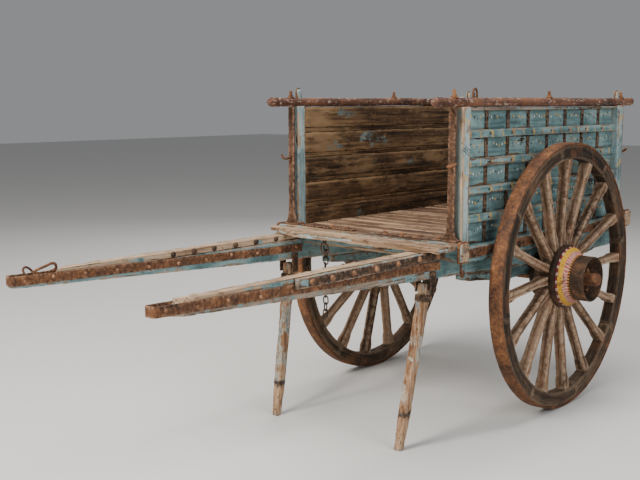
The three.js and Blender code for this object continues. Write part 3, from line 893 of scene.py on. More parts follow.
def makeCheek(hand, side):
    low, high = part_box(f"shaft_cheek_{hand}")
    thick = 0.020
    shaftX = sum((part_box(f"shaft_{hand}")[i].x for i in (0, 1))) / 2
    ends = [axleAt.y - low.y, axleAt.y - high.y]

    def outer(front):
        return shaftX + side * (shaftWideAt(front) / 2 + strapForm["thick"] + 0.0006 + thick)

    cheek = beamThrough(f"shaft_{hand}_cheek", [
        (ahead(f), outer(f) - side * thick / 2, thick, low.z, high.z) for f in ends])
    weathered(cheek, 1, worn=0.004, chip=0.007)
    dress(cheek, finishes["shaft"], nodes=[f"shaft_cheek_{hand}"])
    # the brown iron strip along it, with its bolts
    strip = beamThrough(f"shaft_{hand}_cheek_strip", [
        (ahead(f), outer(f) + side * 0.0025, 0.005, low.z + 0.005, high.z - 0.004) for f in (ends[0] - 0.06, ends[1])])
    forged(strip, 1)
    dress(strip, finishes["iron"])
    fronts = [1.845, 1.725, 1.59, 1.44, 1.29, 1.13, 0.99]
    studs(f"shaft_{hand}_cheek_bolts", boltShape,
          [((outer(f) + side * 0.005, ahead(f), 0.911), (side, 0, 0)) for f in fronts],
          finishes["head"])
    # bolt heads along the inner face, above the strap
    fronts = [1.79, 1.665, 1.54, 1.4, 1.26, 1.12]
    inner = [(shaftX - side * shaftWideAt(f) / 2, ahead(f), 0.921) for f in fronts]
    studs(f"shaft_{hand}_inner_bolts", boltShape, [(place, (-side, 0, 0)) for place in inner],
          finishes["iron"])


for hand, side in hands:
    makeShaft(hand, side)
    makeShaftIron(hand, side)
    makeCheek(hand, side)
print("shafts done")


# Cross beams, footboards, sills and floor

def makeFootboard():
    low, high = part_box("front_footboard")
    board = cubeBetween("front_footboard_plank", low, high)
    edit(board, "FACE")
    # the right front corner has broken away along the grain
    for corner, facing in [((low.x + 0.28, low.y, high.z), (-0.32, -1, 0.12)),
                           ((low.x + 0.09, low.y + 0.05, high.z), (-0.95, -0.4, 0))]:
        bpy.ops.mesh.select_all(action="SELECT")
        bpy.ops.mesh.bisect(plane_co=corner, plane_no=facing, use_fill=True, clear_outer=True)
    leave()
    weathered(board, 0, worn=0.004, chip=0.014, dent=0.006, bend=0.008)
    dress(board, finishes["footboard"], nodes=["front_footboard"])

    low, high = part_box("front_strip_board")
    middle = (low.y + high.y) / 2 + 0.004
    strips = [plank("strip", low, (high.x, middle - 0.003, high.z), 0, chip=0.009, dent=0.003),
              plank("strip", (low.x, middle + 0.003, low.z), (high.x, high.y, high.z - 0.004), 0, chip=0.009)]
    dress(joinAs("front_strip_board_planks", strips), finishes["floor"],
          nodes=["front_strip_board"])


def makeCrossBeam(end):
    low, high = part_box(f"{end}_cross_beam")
    beam = cubeBetween(f"{end}_cross_beam_timber", low, high)

    def topEdge(edge):
        ends = [beam.data.vertices[i].co for i in edge.vertices]
        return min(v.z for v in ends) > high.z - 0.001 and abs(ends[0].x - ends[1].x) > 0.5

    pick(beam, topEdge)  # rounded along its top
    bpy.ops.mesh.bevel(offset=0.012, segments=4, affect="EDGES")
    leave()
    weathered(beam, 0, worn=0.004, chip=0.006)
    dress(beam, finishes["cross"], nodes=[f"{end}_cross_beam"])
    for hand, side in hands:
        makeBeamBand(end, hand, side)


def makeBeamBand(end, hand, side):
    # a round iron bent about the beam's end, with a hook that hangs from it
    low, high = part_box(f"{end}_beam_band_{hand}")
    x = (low.x + high.x) / 2
    y0, y1, z0, z1 = low.y + 0.004, high.y - 0.004, low.z + 0.004, high.z - 0.004
    near = 0.02
    route = [(y0, z0), (y0, z0), (y0, z0 + near), (y0, z1 - near), (y0, z1), (y0 + near, z1), (y1 - near, z1), (y1, z1),
             (y1, z1 - near), (y1, z0 + near), (y1, z0), (y1, z0), (y1 - near, z0), (y0 + near, z0)]
    band = rod(f"{end}_beam_band_{hand}_iron", [(x, y, z) for y, z in route], 0.0065, closed=True)
    dress(roundIron(band), finishes["rust"], nodes=[f"{end}_beam_band_{hand}"])
    if end == "front":
        x, y = (low.x + high.x) / 2, (low.y + high.y) / 2 - 0.012
        z = low.z + 0.004
        hook = rod(f"front_beam_hook_{hand}", [
            (x, y, z), (x, y, z - 0.03), (x, y, z - 0.052), (x + 0.008 * side, y - 0.006, z - 0.068),
            (x + 0.02 * side, y - 0.012, z - 0.066), (x + 0.026 * side, y - 0.014, z - 0.05),
            (x + 0.022 * side, y - 0.012, z - 0.034)], 0.0055)
        dress(roundIron(hook), finishes["rust"])


def makeSill(hand, side):
    low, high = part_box(f"sill_{hand}")
    sill = plank(f"sill_{hand}_timber", low, high, 1, worn=0.004)
    dress(sill, finishes["sill"], nodes=[f"sill_{hand}"])
    low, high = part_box(f"sill_iron_{hand}")
    strap = flatIron(f"sill_{hand}_strap", low, high, 1)
    dress(strap, finishes["rust"], nodes=[f"sill_iron_{hand}"])
    outer = high.x if side > 0 else low.x
    count = 12
    places = [((outer, low.y + (high.y - low.y) * (i + 0.5) / count, (low.z + high.z) / 2), (side, 0, 0))
              for i in range(count)]
    studs(f"sill_{hand}_bolts", boltShape, places, finishes["iron"])


floorForm = {"planks": 15, "gap": 0.004, "thick": 0.0297, "joistX": 0.170, "joistWide": 0.060}


def makeFloor():
    low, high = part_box("floor_boards")
    pitch = (high.y - low.y + floorForm["gap"]) / floorForm["planks"]
    planks = []
    for i in range(floorForm["planks"]):
        y = low.y + i * pitch
        sink = random.uniform(0, 0.004)
        gap = floorForm["gap"] + random.uniform(0, 0.004)
        planks.append(plank("floor_plank", (low.x, y, high.z - floorForm["thick"] - sink),
                            (high.x, y + pitch - gap, high.z - sink), 0, worn=0.004, chip=0.008, dent=0.004))
    dress(joinAs("floor_planks", planks), finishes["floor"], nodes=["floor_boards"])
    joists = [plank("joist", (s * floorForm["joistX"] - floorForm["joistWide"] / 2, low.y, low.z),
                    (s * floorForm["joistX"] + floorForm["joistWide"] / 2, high.y, high.z - floorForm["thick"]), 1)
              for s in (-1, 1)]
    dress(joinAs("floor_joists", joists), finishes["darkWood"])
    nails = []
    for i in range(floorForm["planks"]):
        y = low.y + (i + 0.5) * pitch
        for x in (-0.44, -0.17, 0.17, 0.44):
            nails.append(((x + random.uniform(-0.01, 0.01), y + random.choice((-1, 1)) * 0.022, high.z - 0.003), (0, 0, 1)))
    studs("floor_nails", nailShape, nails, finishes["iron"])


makeFootboard()
for end in ("front", "rear"):
    makeCrossBeam(end)
for hand, side in hands:
    makeSill(hand, side)
makeFloor()
print("deck done")


# Sides: boards, battens, iron uprights, posts, irons and rails

sideForm = {"boardIn": 0.478, "boardOut": 0.500, "battenOut": 0.526, "battenHigh": 0.038, "firstTop": 1.477,
            "pitch": 0.133, "battens": 4, "uprights": 7, "uprightPitch": 0.200, "uprightWide": 0.028,
            "uprightThick": 0.0053, "strip": 0.024}


def between(side, inner, outer, y0, y1, z0, z1):
    # corners of a block that lies from inner to outer on one side of the cart
    xs = sorted((side * inner, side * outer))
    return (xs[0], y0, z0), (xs[1], y1, z1)


def makeSide(hand, side):
    form = sideForm
    low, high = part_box(f"side_panel_{hand}")
    tops = [form["firstTop"] - i * form["pitch"] for i in range(form["battens"])]
    seams = [high.z] + [top - form["battenHigh"] / 2 for top in tops] + [low.z]
    boards = []
    half = form["strip"] / 2
    for upper, lower in zip(seams, seams[1:]):
        sink = random.uniform(0, 0.002)
        below = lower + (half if lower > low.z else 0)
        above = upper - (half if upper < high.z else 0)
        corners = between(side, form["boardIn"] + sink, form["boardOut"], low.y, high.y, below + 0.001, above - 0.001)
        boards.append(plank("board", *corners, 1, worn=0.004, chip=0.009, dent=0.005, bend=0.004))
    for seam in seams[1:-1]:  # a narrow strip closes each seam behind the batten
        sink = random.uniform(0.004, 0.007)
        corners = between(side, form["boardIn"] + sink, form["boardOut"], low.y, high.y, seam - half, seam + half)
        boards.append(plank("strip", *corners, 1, worn=0.003, chip=0.006, dent=0.003))
    dress(joinAs(f"side_{hand}_boards", boards), finishes["board"], nodes=[f"side_panel_{hand}"])
    battens = [plank("batten", *between(side, form["boardOut"] + 0.0005, form["battenOut"], low.y, high.y,
                                        top - form["battenHigh"], top), 1, worn=0.0035, across=0.012, chip=0.005)
               for top in tops]
    dress(joinAs(f"side_{hand}_battens", battens), finishes["batten"], nodes=[f"side_panel_{hand}"])

    low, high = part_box(f"upright_irons_{hand}")
    rows = [axleAt.y + (i - (form["uprights"] - 1) / 2) * form["uprightPitch"] for i in range(form["uprights"])]
    inner, outer = form["boardOut"], form["boardOut"] + form["uprightThick"]
    half = form["uprightWide"] / 2
    irons = [flatIron("upright", *between(side, inner, outer, y - half, y + half, low.z, high.z), 2) for y in rows]
    irons.append(flatIron("bar", *between(side, inner, outer + 0.004, low.y, high.y, high.z - 0.014, high.z), 1))
    dress(joinAs(f"side_{hand}_uprights", irons), finishes["iron"], nodes=[f"upright_irons_{hand}"])
    nails = []
    for y in rows:
        for top in tops:
            nails.append(((side * form["battenOut"], y, top - form["battenHigh"] / 2), (side, 0, 0)))
        for z in [1.53, 1.41, 1.28, 1.145, 1.0]:
            nails.append(((side * outer, y + random.uniform(-0.004, 0.004), z), (side, 0, 0)))
    studs(f"side_{hand}_nails", {"radius": 0.006, "high": 0.004, "sides": 7}, nails, finishes["iron"])


def makePost(hand, side, end, way):
    # way: -1 at the front, 1 at the rear
    low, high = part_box(f"{end}_post_{hand}")
    railLow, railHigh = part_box(f"top_rail_{hand}")
    railZ = (railLow.z + railHigh.z) / 2
    post = plank("post", low, (high.x, high.y, railZ - 0.02), 2, worn=0.004, chip=0.005)
    x = (railLow.x + railHigh.x) / 2
    y = (low.y + high.y) / 2
    stub = plank("stub", (x - 0.012, y - 0.015, railZ), (x + 0.012, y + 0.015, high.z), 2, worn=0.006,
                 along=0.01, across=0.008, chip=0.006)
    dress(joinAs(f"{end}_post_{hand}_timber", [post, stub]), finishes["post"],
          nodes=[f"{end}_post_{hand}"])
    if high.z > railZ + 0.04:  # an iron strap over the stub
        strap = rod(f"{end}_post_{hand}_loop", [
            (x - 0.004 * side, y - 0.0185, railZ + 0.018), (x, y - 0.0185, high.z - 0.016), (x, y - 0.011, high.z + 0.001),
            (x, y, high.z + 0.004), (x, y + 0.011, high.z + 0.001), (x, y + 0.0185, high.z - 0.016),
            (x - 0.004 * side, y + 0.0185, railZ + 0.018)], 0.0042)
        dress(roundIron(strap), finishes["rust"])


cornerIron = {"x": 0.498, "wide": 0.038, "thick": 0.012, "footWide": 0.040, "footThick": 0.008,
              "flareHigh": 0.075, "flareIn": 0.046, "flareOut": 0.028}


def makeCornerIron(hand, side, end, way):
    form = cornerIron
    low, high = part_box(f"{end}_post_iron_{hand}")
    y = (low.y + high.y) / 2
    x = side * form["x"]
    foot = low.z + form["footThick"]
    # the bar, widened by extruding down through the flare
    bar = planeAt("bar", (x, y, high.z), form["wide"], form["thick"])
    edit(bar, "FACE")
    bpy.ops.mesh.select_all(action="SELECT")
    levels = [(foot + form["flareHigh"], 0.0)]
    for step in range(1, 7):
        angle = math.pi / 2 * step / 6
        levels.append((foot + form["flareHigh"] * (1 - math.sin(angle)), 1 - math.cos(angle)))
    levels.append((low.z, 1.0))
    here, wide = Vector((x, y, high.z)), form["wide"]
    for level, share in levels:
        nextWide = form["wide"] + share * (form["flareIn"] + form["flareOut"])
        there = Vector((x + side * share * (form["flareOut"] - form["flareIn"]) / 2, y, level))
        bpy.ops.mesh.extrude_region_move(TRANSFORM_OT_translate={"value": there - here})
        bpy.ops.transform.resize(value=(nextWide / wide, 1, 1), center_override=there)
        here, wide = there, nextWide
    bpy.ops.mesh.select_all(action="SELECT")
    bpy.ops.mesh.fill_holes(sides=0)
    bpy.ops.mesh.normals_make_consistent(inside=False)
    leave()
    forged(bar, 2, worn=0.0025, across=0.012, pit=0.0016)
    inner, outer = sorted((abs(low.x), abs(high.x)))
    half = form["footWide"] / 2
    strap = flatIron("strap", *between(side, inner, outer, y - half, y + half, low.z, foot), 0, worn=0.002, across=0.012)
    piece = joinAs(f"{end}_post_iron_{hand}_bar", [bar, strap])
    dress(piece, finishes["brown"], nodes=[f"{end}_post_iron_{hand}"])

    # a hook at mid height, and bolt heads on the strap
    at = Vector((x, y + way * form["thick"] / 2, 1.318))
    reach = 0.036
    hook = rod(f"{end}_post_iron_{hand}_hook", [
        at, at + Vector((0, way * 0.012, 0)), at + Vector((0, way * reach * 0.8, -0.004)),
        at + Vector((side * 0.008, way * reach, -0.006)), at + Vector((side * 0.028, way * reach * 0.9, 0.0)),
        at + Vector((side * 0.044, way * reach * 0.6, 0.012))], 0.0068)
    dress(roundIron(hook), finishes["rust"])
    fronts = [0.12, 0.22, 0.33, 0.43]
    studs(f"{end}_post_iron_{hand}_bolts", boltShape,
          [((side * across, y, foot), (0, 0, 1)) for across in fronts], finishes["rust"])


railForm = {"egg": 0.058, "sides": 24}


def makeRail(hand, side):
    low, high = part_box(f"top_rail_{hand}")
    centre = Vector(((low.x + high.x) / 2, 0, (low.z + high.z) / 2))
    r = 0.0225
    front, back = low.y, high.y
    egg = [(front, 0.006), (front + 0.004, 0.014), (front + 0.013, 0.0205), (front + 0.026, 0.0242),
           (front + 0.040, 0.0245), (front + 0.052, 0.0205), (front + 0.058, 0.0150), (front + 0.064, 0.0150),
           (front + 0.066, 0.0240), (front + 0.073, 0.0240), (front + 0.077, r)]
    steps = 84
    run = [(front + 0.077 + (back - 0.012 - front - 0.077) * i / steps, r) for i in range(1, steps + 1)]
    rail = turned(f"top_rail_{hand}_pole", centre, 1, egg + run + [(back - 0.003, 0.019), (back, 0.010)],
                  railForm["sides"])
    roughen(rail, "bend", 0.008)
    roughen(rail, "dent", 0.003)
    roughen(rail, "pit", 0.0012)
    markWear(rail, 40)
    dress(rail, finishes["rail"], nodes=[f"top_rail_{hand}"])
    # a nut with a turned top over each iron and at the middle, and a thin board under the rail
    nuts = []
    for along in (-0.885, 0.01, 0.885):
        place = centre + Vector((0, axleAt.y + along, r - 0.003))
        nuts.append(turned("nut", place, 2, [(0, 0.019), (0.007, 0.0185), (0.0075, 0.012), (0.018, 0.0115),
                                             (0.0185, 0.0075), (0.024, 0.0065), (0.029, 0.0088), (0.035, 0.0082),
                                             (0.040, 0.003)], 10))
    piece = roundIron(joinAs(f"top_rail_{hand}_nuts", nuts))
    dress(piece, finishes["rust"])
    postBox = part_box(f"front_post_{hand}")
    edge = plank(f"top_rail_{hand}_edge_board",
                 *between(side, 0.508, 0.522, postBox[1].y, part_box(f"rear_post_{hand}")[0].y, 1.566, 1.581), 1,
                 worn=0.003, across=0.01)
    dress(edge, finishes["sill"])


for hand, side in hands:
    makeSide(hand, side)
    makeRail(hand, side)
    for end, way in [("front", -1), ("rear", 1)]:
        makePost(hand, side, end, way)
        makeCornerIron(hand, side, end, way)
print("sides done")


# Axle, bolsters and prop legs

def makeAxle():
    low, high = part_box("axle")
    half = (high.z - low.z) / 2
    shoulder = 0.484
    bar = flatIron("bar", (-shoulder, low.y, low.z), (shoulder, high.y, high.z), 0, worn=0.004)
    arms = []
    for hand, side in hands:
        tip = high.x
        profile = [(side * (shoulder - 0.01), half * 0.99), (side * (tip - 0.014), half * 0.99),
                   (side * (tip - 0.005), half * 0.86), (side * tip, half * 0.6)]
        arms.append(roundIron(turned("arm", Vector((0, axleAt.y, axleAt.z)), 0, profile, 32)))
    dress(joinAs("axle_bar", [bar] + arms), finishes["rust"], nodes=["axle"])
    for hand, side in hands:
        low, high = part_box(f"axle_washer_{hand}")
        inner, outer = low.x, high.x
        ring = turned(f"axle_{hand}_washer", Vector((0, axleAt.y, axleAt.z)), 0, [
            (inner, 0.0336), (inner, 0.058), (inner + 0.003, 0.061), (outer - 0.003, 0.061), (outer, 0.058),
            (outer, 0.0336)], 32, closed=True)
        dress(roundIron(ring), finishes["rust"], nodes=[f"axle_washer_{hand}"])
        low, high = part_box(f"linchpin_{hand}")
        x = (low.x + high.x) / 2
        pin = flatIron("pin", (low.x, axleAt.y - 0.007, low.z), (high.x, axleAt.y + 0.007, high.z), 2)
        head = flatIron("head", (low.x - 0.001, low.y, axleAt.z + 0.036), (high.x + 0.001, high.y, high.z), 2, worn=0.004)
        dress(joinAs(f"axle_{hand}_linchpin", [pin, head]), finishes["rust"],
              nodes=[f"linchpin_{hand}"])


def makeBolster(hand, side):
    low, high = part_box(f"axle_bolster_{hand}")
    x, wide = (low.x + high.x) / 2, high.x - low.x
    stations = [(0.68, 0.745), (0.3, 0.704), (-0.3, 0.704), (-0.68, 0.745)]
    body = beamThrough(f"axle_bolster_{hand}_block", [
        (ahead(front), x, wide, bottom, shaftBottomAt(front) - 0.0003) for front, bottom in stations])
    weathered(body, 1, worn=0.005)
    dress(body, finishes["sill"], nodes=[f"axle_bolster_{hand}"])
    # two flat stirrups that clip the axle to the bolster
    for along in (-0.062, 0.062):
        y = axleAt.y + along
        name = f"axle_bolster_{hand}_clip_{'front' if along < 0 else 'rear'}"
        z0, z1 = 0.700, 0.80
        clip = [flatIron("leg", *between(side, s0, s0 + 0.006, y - 0.016, y + 0.016, z0, z1), 2)
                for s0 in (abs(x) - wide / 2 - 0.0065, abs(x) + wide / 2 + 0.0005)]
        clip.append(flatIron("yoke", *between(side, abs(x) - wide / 2 - 0.006, abs(x) + wide / 2 + 0.006,
                                              y - 0.016, y + 0.016, z0 - 0.006, z0), 0))
        dress(joinAs(name, clip), finishes["iron"])


legForm = {"lean": 0.140, "wides": [(0.0, 0.036), (0.170, 0.046), (0.430, 0.046), (0.779, 0.050)], "footX": 0.392}


def makeProp(hand, side):
    low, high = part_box(f"prop_leg_{hand}")
    joint = next(j for j in frame["joints"] if j["name"] == f"prop_{hand}_swing")
    pivot = Vector(joint["pos_m"])
    body = f"prop_{hand}"
    # a square leg extruded up through its stations, leaning to the pivot
    def at(z):
        share = (pivot.z - z) / pivot.z
        return Vector((pivot.x + (side * legForm["footX"] - pivot.x) * share, pivot.y - legForm["lean"] * share, z))

    z, wide = legForm["wides"][0]
    leg = planeAt(f"prop_{hand}_leg", at(z), wide, wide)
    edit(leg, "FACE")
    bpy.ops.mesh.select_all(action="SELECT")
    for nextZ, nextWide in legForm["wides"][1:]:
        bpy.ops.mesh.extrude_region_move(TRANSFORM_OT_translate={"value": at(nextZ) - at(z)})
        bpy.ops.transform.resize(value=(nextWide / wide, nextWide / wide, 1), center_override=at(nextZ))
        z, wide = nextZ, nextWide
    bpy.ops.mesh.select_all(action="SELECT")
    bpy.ops.mesh.fill_holes(sides=0)
    bpy.ops.mesh.normals_make_consistent(inside=False)
    leave()
    weathered(leg, 2, worn=0.005, across=0.012, chip=0.007, bend=0.006)
    dress(leg, finishes["prop"], body, [f"prop_leg_{hand}"])
    # iron collar below the pin
    z0, z1 = 0.690, 0.722
    middle = at((z0 + z1) / 2)
    half = 0.0285
    collar = cubeBetween(f"prop_{hand}_collar", middle - Vector((half, half, (z1 - z0) / 2)),
                         middle + Vector((half, half, (z1 - z0) / 2)))
    collar.data.transform(about(middle, "X", math.atan2(legForm["lean"], pivot.z) * -1))
    forged(collar, 0, across=0.012)
    dress(collar, finishes["iron"], body)

    low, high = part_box(f"prop_ears_{hand}")
    ears = []
    for x0, x1 in [(low.x, low.x + 0.008), (high.x - 0.008, high.x)]:
        ears.append(flatIron("ear", (x0, low.y, low.z), (x1, high.y, high.z), 2, worn=0.003, across=0.01))
    pin = turned("pin", Vector((0, pivot.y, pivot.z)), 0, [
        (low.x - 0.010, 0.007), (low.x - 0.009, 0.012), (low.x - 0.001, 0.013), (low.x, 0.009), (high.x, 0.009),
        (high.x + 0.001, 0.013), (high.x + 0.009, 0.012), (high.x + 0.010, 0.007)], 14)
    ears.append(roundIron(pin))
    dress(joinAs(f"prop_{hand}_ears", ears), finishes["iron"], nodes=[f"prop_ears_{hand}"])


makeAxle()
for hand, side in hands:
    makeBolster(hand, side)
    makeProp(hand, side)
print("running gear done")


# Wheels

wheelForm = {"felloes": 8, "spokes": 16, "felloeIn": 0.616, "felloeOut": 0.6855, "felloeWide": 0.066,
             "radius": 0.700, "tyreWide": 0.070, "dish": 0.038, "restTurn": {"left": 2.5, "right": -8.5}}
spokeRows = [  # radius from the hub, width, depth and cut corner of the section
    (0.140, 0.041, 0.058, 0.0016), (0.210, 0.041, 0.058, 0.0016), (0.228, 0.039, 0.057, 0.004),
    (0.258, 0.036, 0.056, 0.0075), (0.525, 0.036, 0.054, 0.0075), (0.552, 0.041, 0.055, 0.004),
    (0.568, 0.046, 0.056, 0.0018), (0.6154, 0.048, 0.056, 0.0016)]


def makeTyre(hand, side):
    centre = rimAt[hand]
    half, r = wheelForm["tyreWide"] / 2, wheelForm["radius"]
    inner = wheelForm["felloeOut"] + 0.0005
    profile = [(-half, inner), (-half, r - 0.004), (-half + 0.004, r - 0.0005), (-half + 0.02, r), (half - 0.02, r),
               (half - 0.004, r - 0.0005), (half, r - 0.004), (half, inner)]
    tyre = turned(f"wheel_{hand}_tyre_iron", centre, 0, profile, 128, closed=True)
    roughen(tyre, "dent", 0.0022)
    roughen(tyre, "pit", 0.0016)
    markWear(tyre, 40)
    dress(tyre, finishes["rust"], f"wheel_{hand}", [f"wheel_{hand}_tyre"])


def makeFelloes(hand, side, material):
    # one felloe spun round the hub, then copied round the rim
    centre = rimAt[hand]
    form = wheelForm
    count = form["felloes"]
    gap = 0.0008 / form["felloeOut"]
    sweep = 2 * math.pi / count - gap
    middle = (form["felloeIn"] + form["felloeOut"]) / 2
    felloe = planeAt("felloe", centre + Vector((0, 0, middle)), form["felloeWide"],
                     form["felloeOut"] - form["felloeIn"], (math.pi / 2, 0, 0))
    edit(felloe, "FACE")
    bpy.ops.mesh.select_all(action="SELECT")
    bpy.ops.mesh.subdivide(number_cuts=3)
    bpy.ops.mesh.spin(steps=22, angle=sweep, center=centre, axis=(1, 0, 0))
    bpy.ops.mesh.select_all(action="SELECT")
    bpy.ops.mesh.remove_doubles(threshold=0.0001)
    bpy.ops.mesh.fill_holes(sides=0)
    bpy.ops.mesh.normals_make_consistent(inside=False)
    leave()
    rim = []
    for i in range(count):
        copy = copyOf(felloe, "felloe", about(centre, "X", 2 * math.pi * (i + 0.25) / count))
        wearEdges(copy, 0.003)
        roughen(copy, "dent", 0.003)
        roughen(copy, "chip", -0.005, "worn", 0.36)
        rim.append(markWear(copy))
    bpy.data.objects.remove(felloe)
    dress(joinAs(f"wheel_{hand}_felloe_ring", rim), material, f"wheel_{hand}", [f"wheel_{hand}_felloes"])


def makeSpokes(hand, side, material):
    # a square bar whose corners are cut away between the shoulders: eight corners and four middles
    centre = rimAt[hand]
    clearSelection()
    bpy.ops.mesh.primitive_cylinder_add(vertices=12, radius=1, depth=1, end_fill_type="NGON")
    spoke = newPiece("spoke")
    pick(spoke, lambda edge: abs(spoke.data.vertices[edge.vertices[0]].co.z
                                 - spoke.data.vertices[edge.vertices[1]].co.z) > 0.5)
    bpy.ops.mesh.subdivide(number_cuts=len(spokeRows) - 2)
    leave()
    for vertex in spoke.data.vertices:
        row = round((vertex.co.z + 0.5) * (len(spokeRows) - 1))
        radius, wide, deep, cut = spokeRows[row]
        share = (radius - spokeRows[0][0]) / (spokeRows[-1][0] - spokeRows[0][0])
        lean = -wheelForm["dish"] * (1 - share) * side
        corner = round((math.atan2(vertex.co.y, vertex.co.x) / math.pi * 6)) % 12
        half, reach = wide / 2, deep / 2
        points = [(half, 0), (half, reach - cut), (half - cut, reach), (0, reach), (cut - half, reach),
                  (-half, reach - cut), (-half, 0), (-half, cut - reach), (cut - half, -reach), (0, -reach),
                  (half - cut, -reach), (half, cut - reach)]
        across, out = points[corner]
        vertex.co = centre + Vector((lean + out, across, radius))
    edit(spoke, "FACE")
    bpy.ops.mesh.select_all(action="SELECT")
    bpy.ops.mesh.normals_make_consistent(inside=False)
    leave()
    cutAlong(spoke, 2, 0.02)
    wearEdges(spoke, 0.0016, sharp=25)
    ring = []
    for i in range(wheelForm["spokes"]):
        angle = math.radians(360 * i / wheelForm["spokes"] + wheelForm["restTurn"][hand])
        copy = copyOf(spoke, "spoke", about(centre, "X", angle))
        roughen(copy, "dent", 0.0014)
        roughen(copy, "chip", -0.003, "worn", 0.36)
        ring.append(markWear(copy, 17))
    bpy.data.objects.remove(spoke)
    dress(joinAs(f"wheel_{hand}_spokes", ring), material, f"wheel_{hand}",
          [f"wheel_{hand}_nave_and_spokes"])


def makeNave(hand, side, wood, paint):
    centre = rimAt[hand]
    body, node = f"wheel_{hand}", f"wheel_{hand}_nave_and_spokes"

    def along(profile):
        return [(side * out, radius) for out, radius in profile]

    inboard = turned(f"wheel_{hand}_nave", centre, 0, along([
        (-0.140, 0.0336), (-0.140, 0.112), (-0.137, 0.117), (-0.114, 0.121), (-0.111, 0.126), (-0.106, 0.136),
        (-0.094, 0.148), (-0.084, 0.155), (-0.078, 0.1565), (-0.040, 0.1575), (-0.004, 0.1565), (-0.003, 0.150),
        (0.025, 0.150), (0.0255, 0.0336)]), 64, closed=True)
    roughen(inboard, "dent", 0.002)
    dress(markWear(inboard), wood, body, [node])
    bell = turned(f"wheel_{hand}_nave_bell", centre, 0, along([
        (0.0252, 0.0336), (0.0252, 0.1575), (0.029, 0.1592), (0.0325, 0.1585), (0.0335, 0.1565), (0.044, 0.151),
        (0.054, 0.1425), (0.058, 0.1375), (0.0585, 0.1355), (0.066, 0.128), (0.074, 0.1215), (0.079, 0.1185),
        (0.0865, 0.1165), (0.0866, 0.0336)]), 96, closed=True)
    roughen(bell, "dent", 0.0016)
    dress(markWear(bell), paint, body, [node])
    band = turned(f"wheel_{hand}_nave_hoop", centre, 0, along([
        (-0.003, 0.1503), (-0.003, 0.163), (-0.001, 0.165), (0.023, 0.165), (0.025, 0.163), (0.025, 0.1503)]), 80,
        closed=True)
    roughen(band, "dent", 0.0016)
    dress(roundIron(band), finishes["iron"], body, [f"wheel_{hand}_nave_band"])
    sleeve = turned(f"wheel_{hand}_nave_cup", centre, 0, along([
        (0.0868, 0.100), (0.0868, 0.1165), (0.090, 0.1178), (0.098, 0.1175), (0.150, 0.1162), (0.155, 0.1172),
        (0.160, 0.1172), (0.163, 0.1155), (0.163, 0.1105), (0.158, 0.1085), (0.110, 0.1055), (0.104, 0.100)]), 80,
        closed=True)
    roughen(sleeve, "dent", 0.0016)
    dress(roundIron(sleeve), finishes["iron"], body, [f"wheel_{hand}_nave_sleeve"])
    back = turned(f"wheel_{hand}_nave_inner_hoop", centre, 0, along([
        (-0.138, 0.1172), (-0.138, 0.121), (-0.116, 0.1245), (-0.116, 0.119)]), 64, closed=True)
    dress(roundIron(back), finishes["iron"], body)


for hand, side in hands:
    spokeWood = spokeFinish(f"spoke_wood_{hand}", hand, "spoke")
    felloeWood = spokeFinish(f"felloe_wood_{hand}", hand, "felloe")
    makeTyre(hand, side)
    makeFelloes(hand, side, felloeWood)
    makeSpokes(hand, side, spokeWood)
    makeNave(hand, side, felloeWood, naveFinish(f"nave_paint_{hand}", hand))
print("wheels done")


# Small iron: ring and chain under the front, ring and hook at the right shaft's tip, loop on the left rail

def ringOf(name, centre, radius, thick, facing):
    clearSelection()
    bpy.ops.mesh.primitive_torus_add(major_radius=radius, minor_radius=thick, major_segments=36, minor_segments=10)
    piece = newPiece(name)
    turn = Vector((0, 0, 1)).rotation_difference(Vector(facing)).to_matrix().to_4x4()
    piece.data.transform(Matrix.Translation(centre) @ turn)
    return piece


chainForm = {"x": -0.262, "links": 11, "long": 0.044, "wide": 0.024, "wire": 0.0035, "pitch": 0.035}


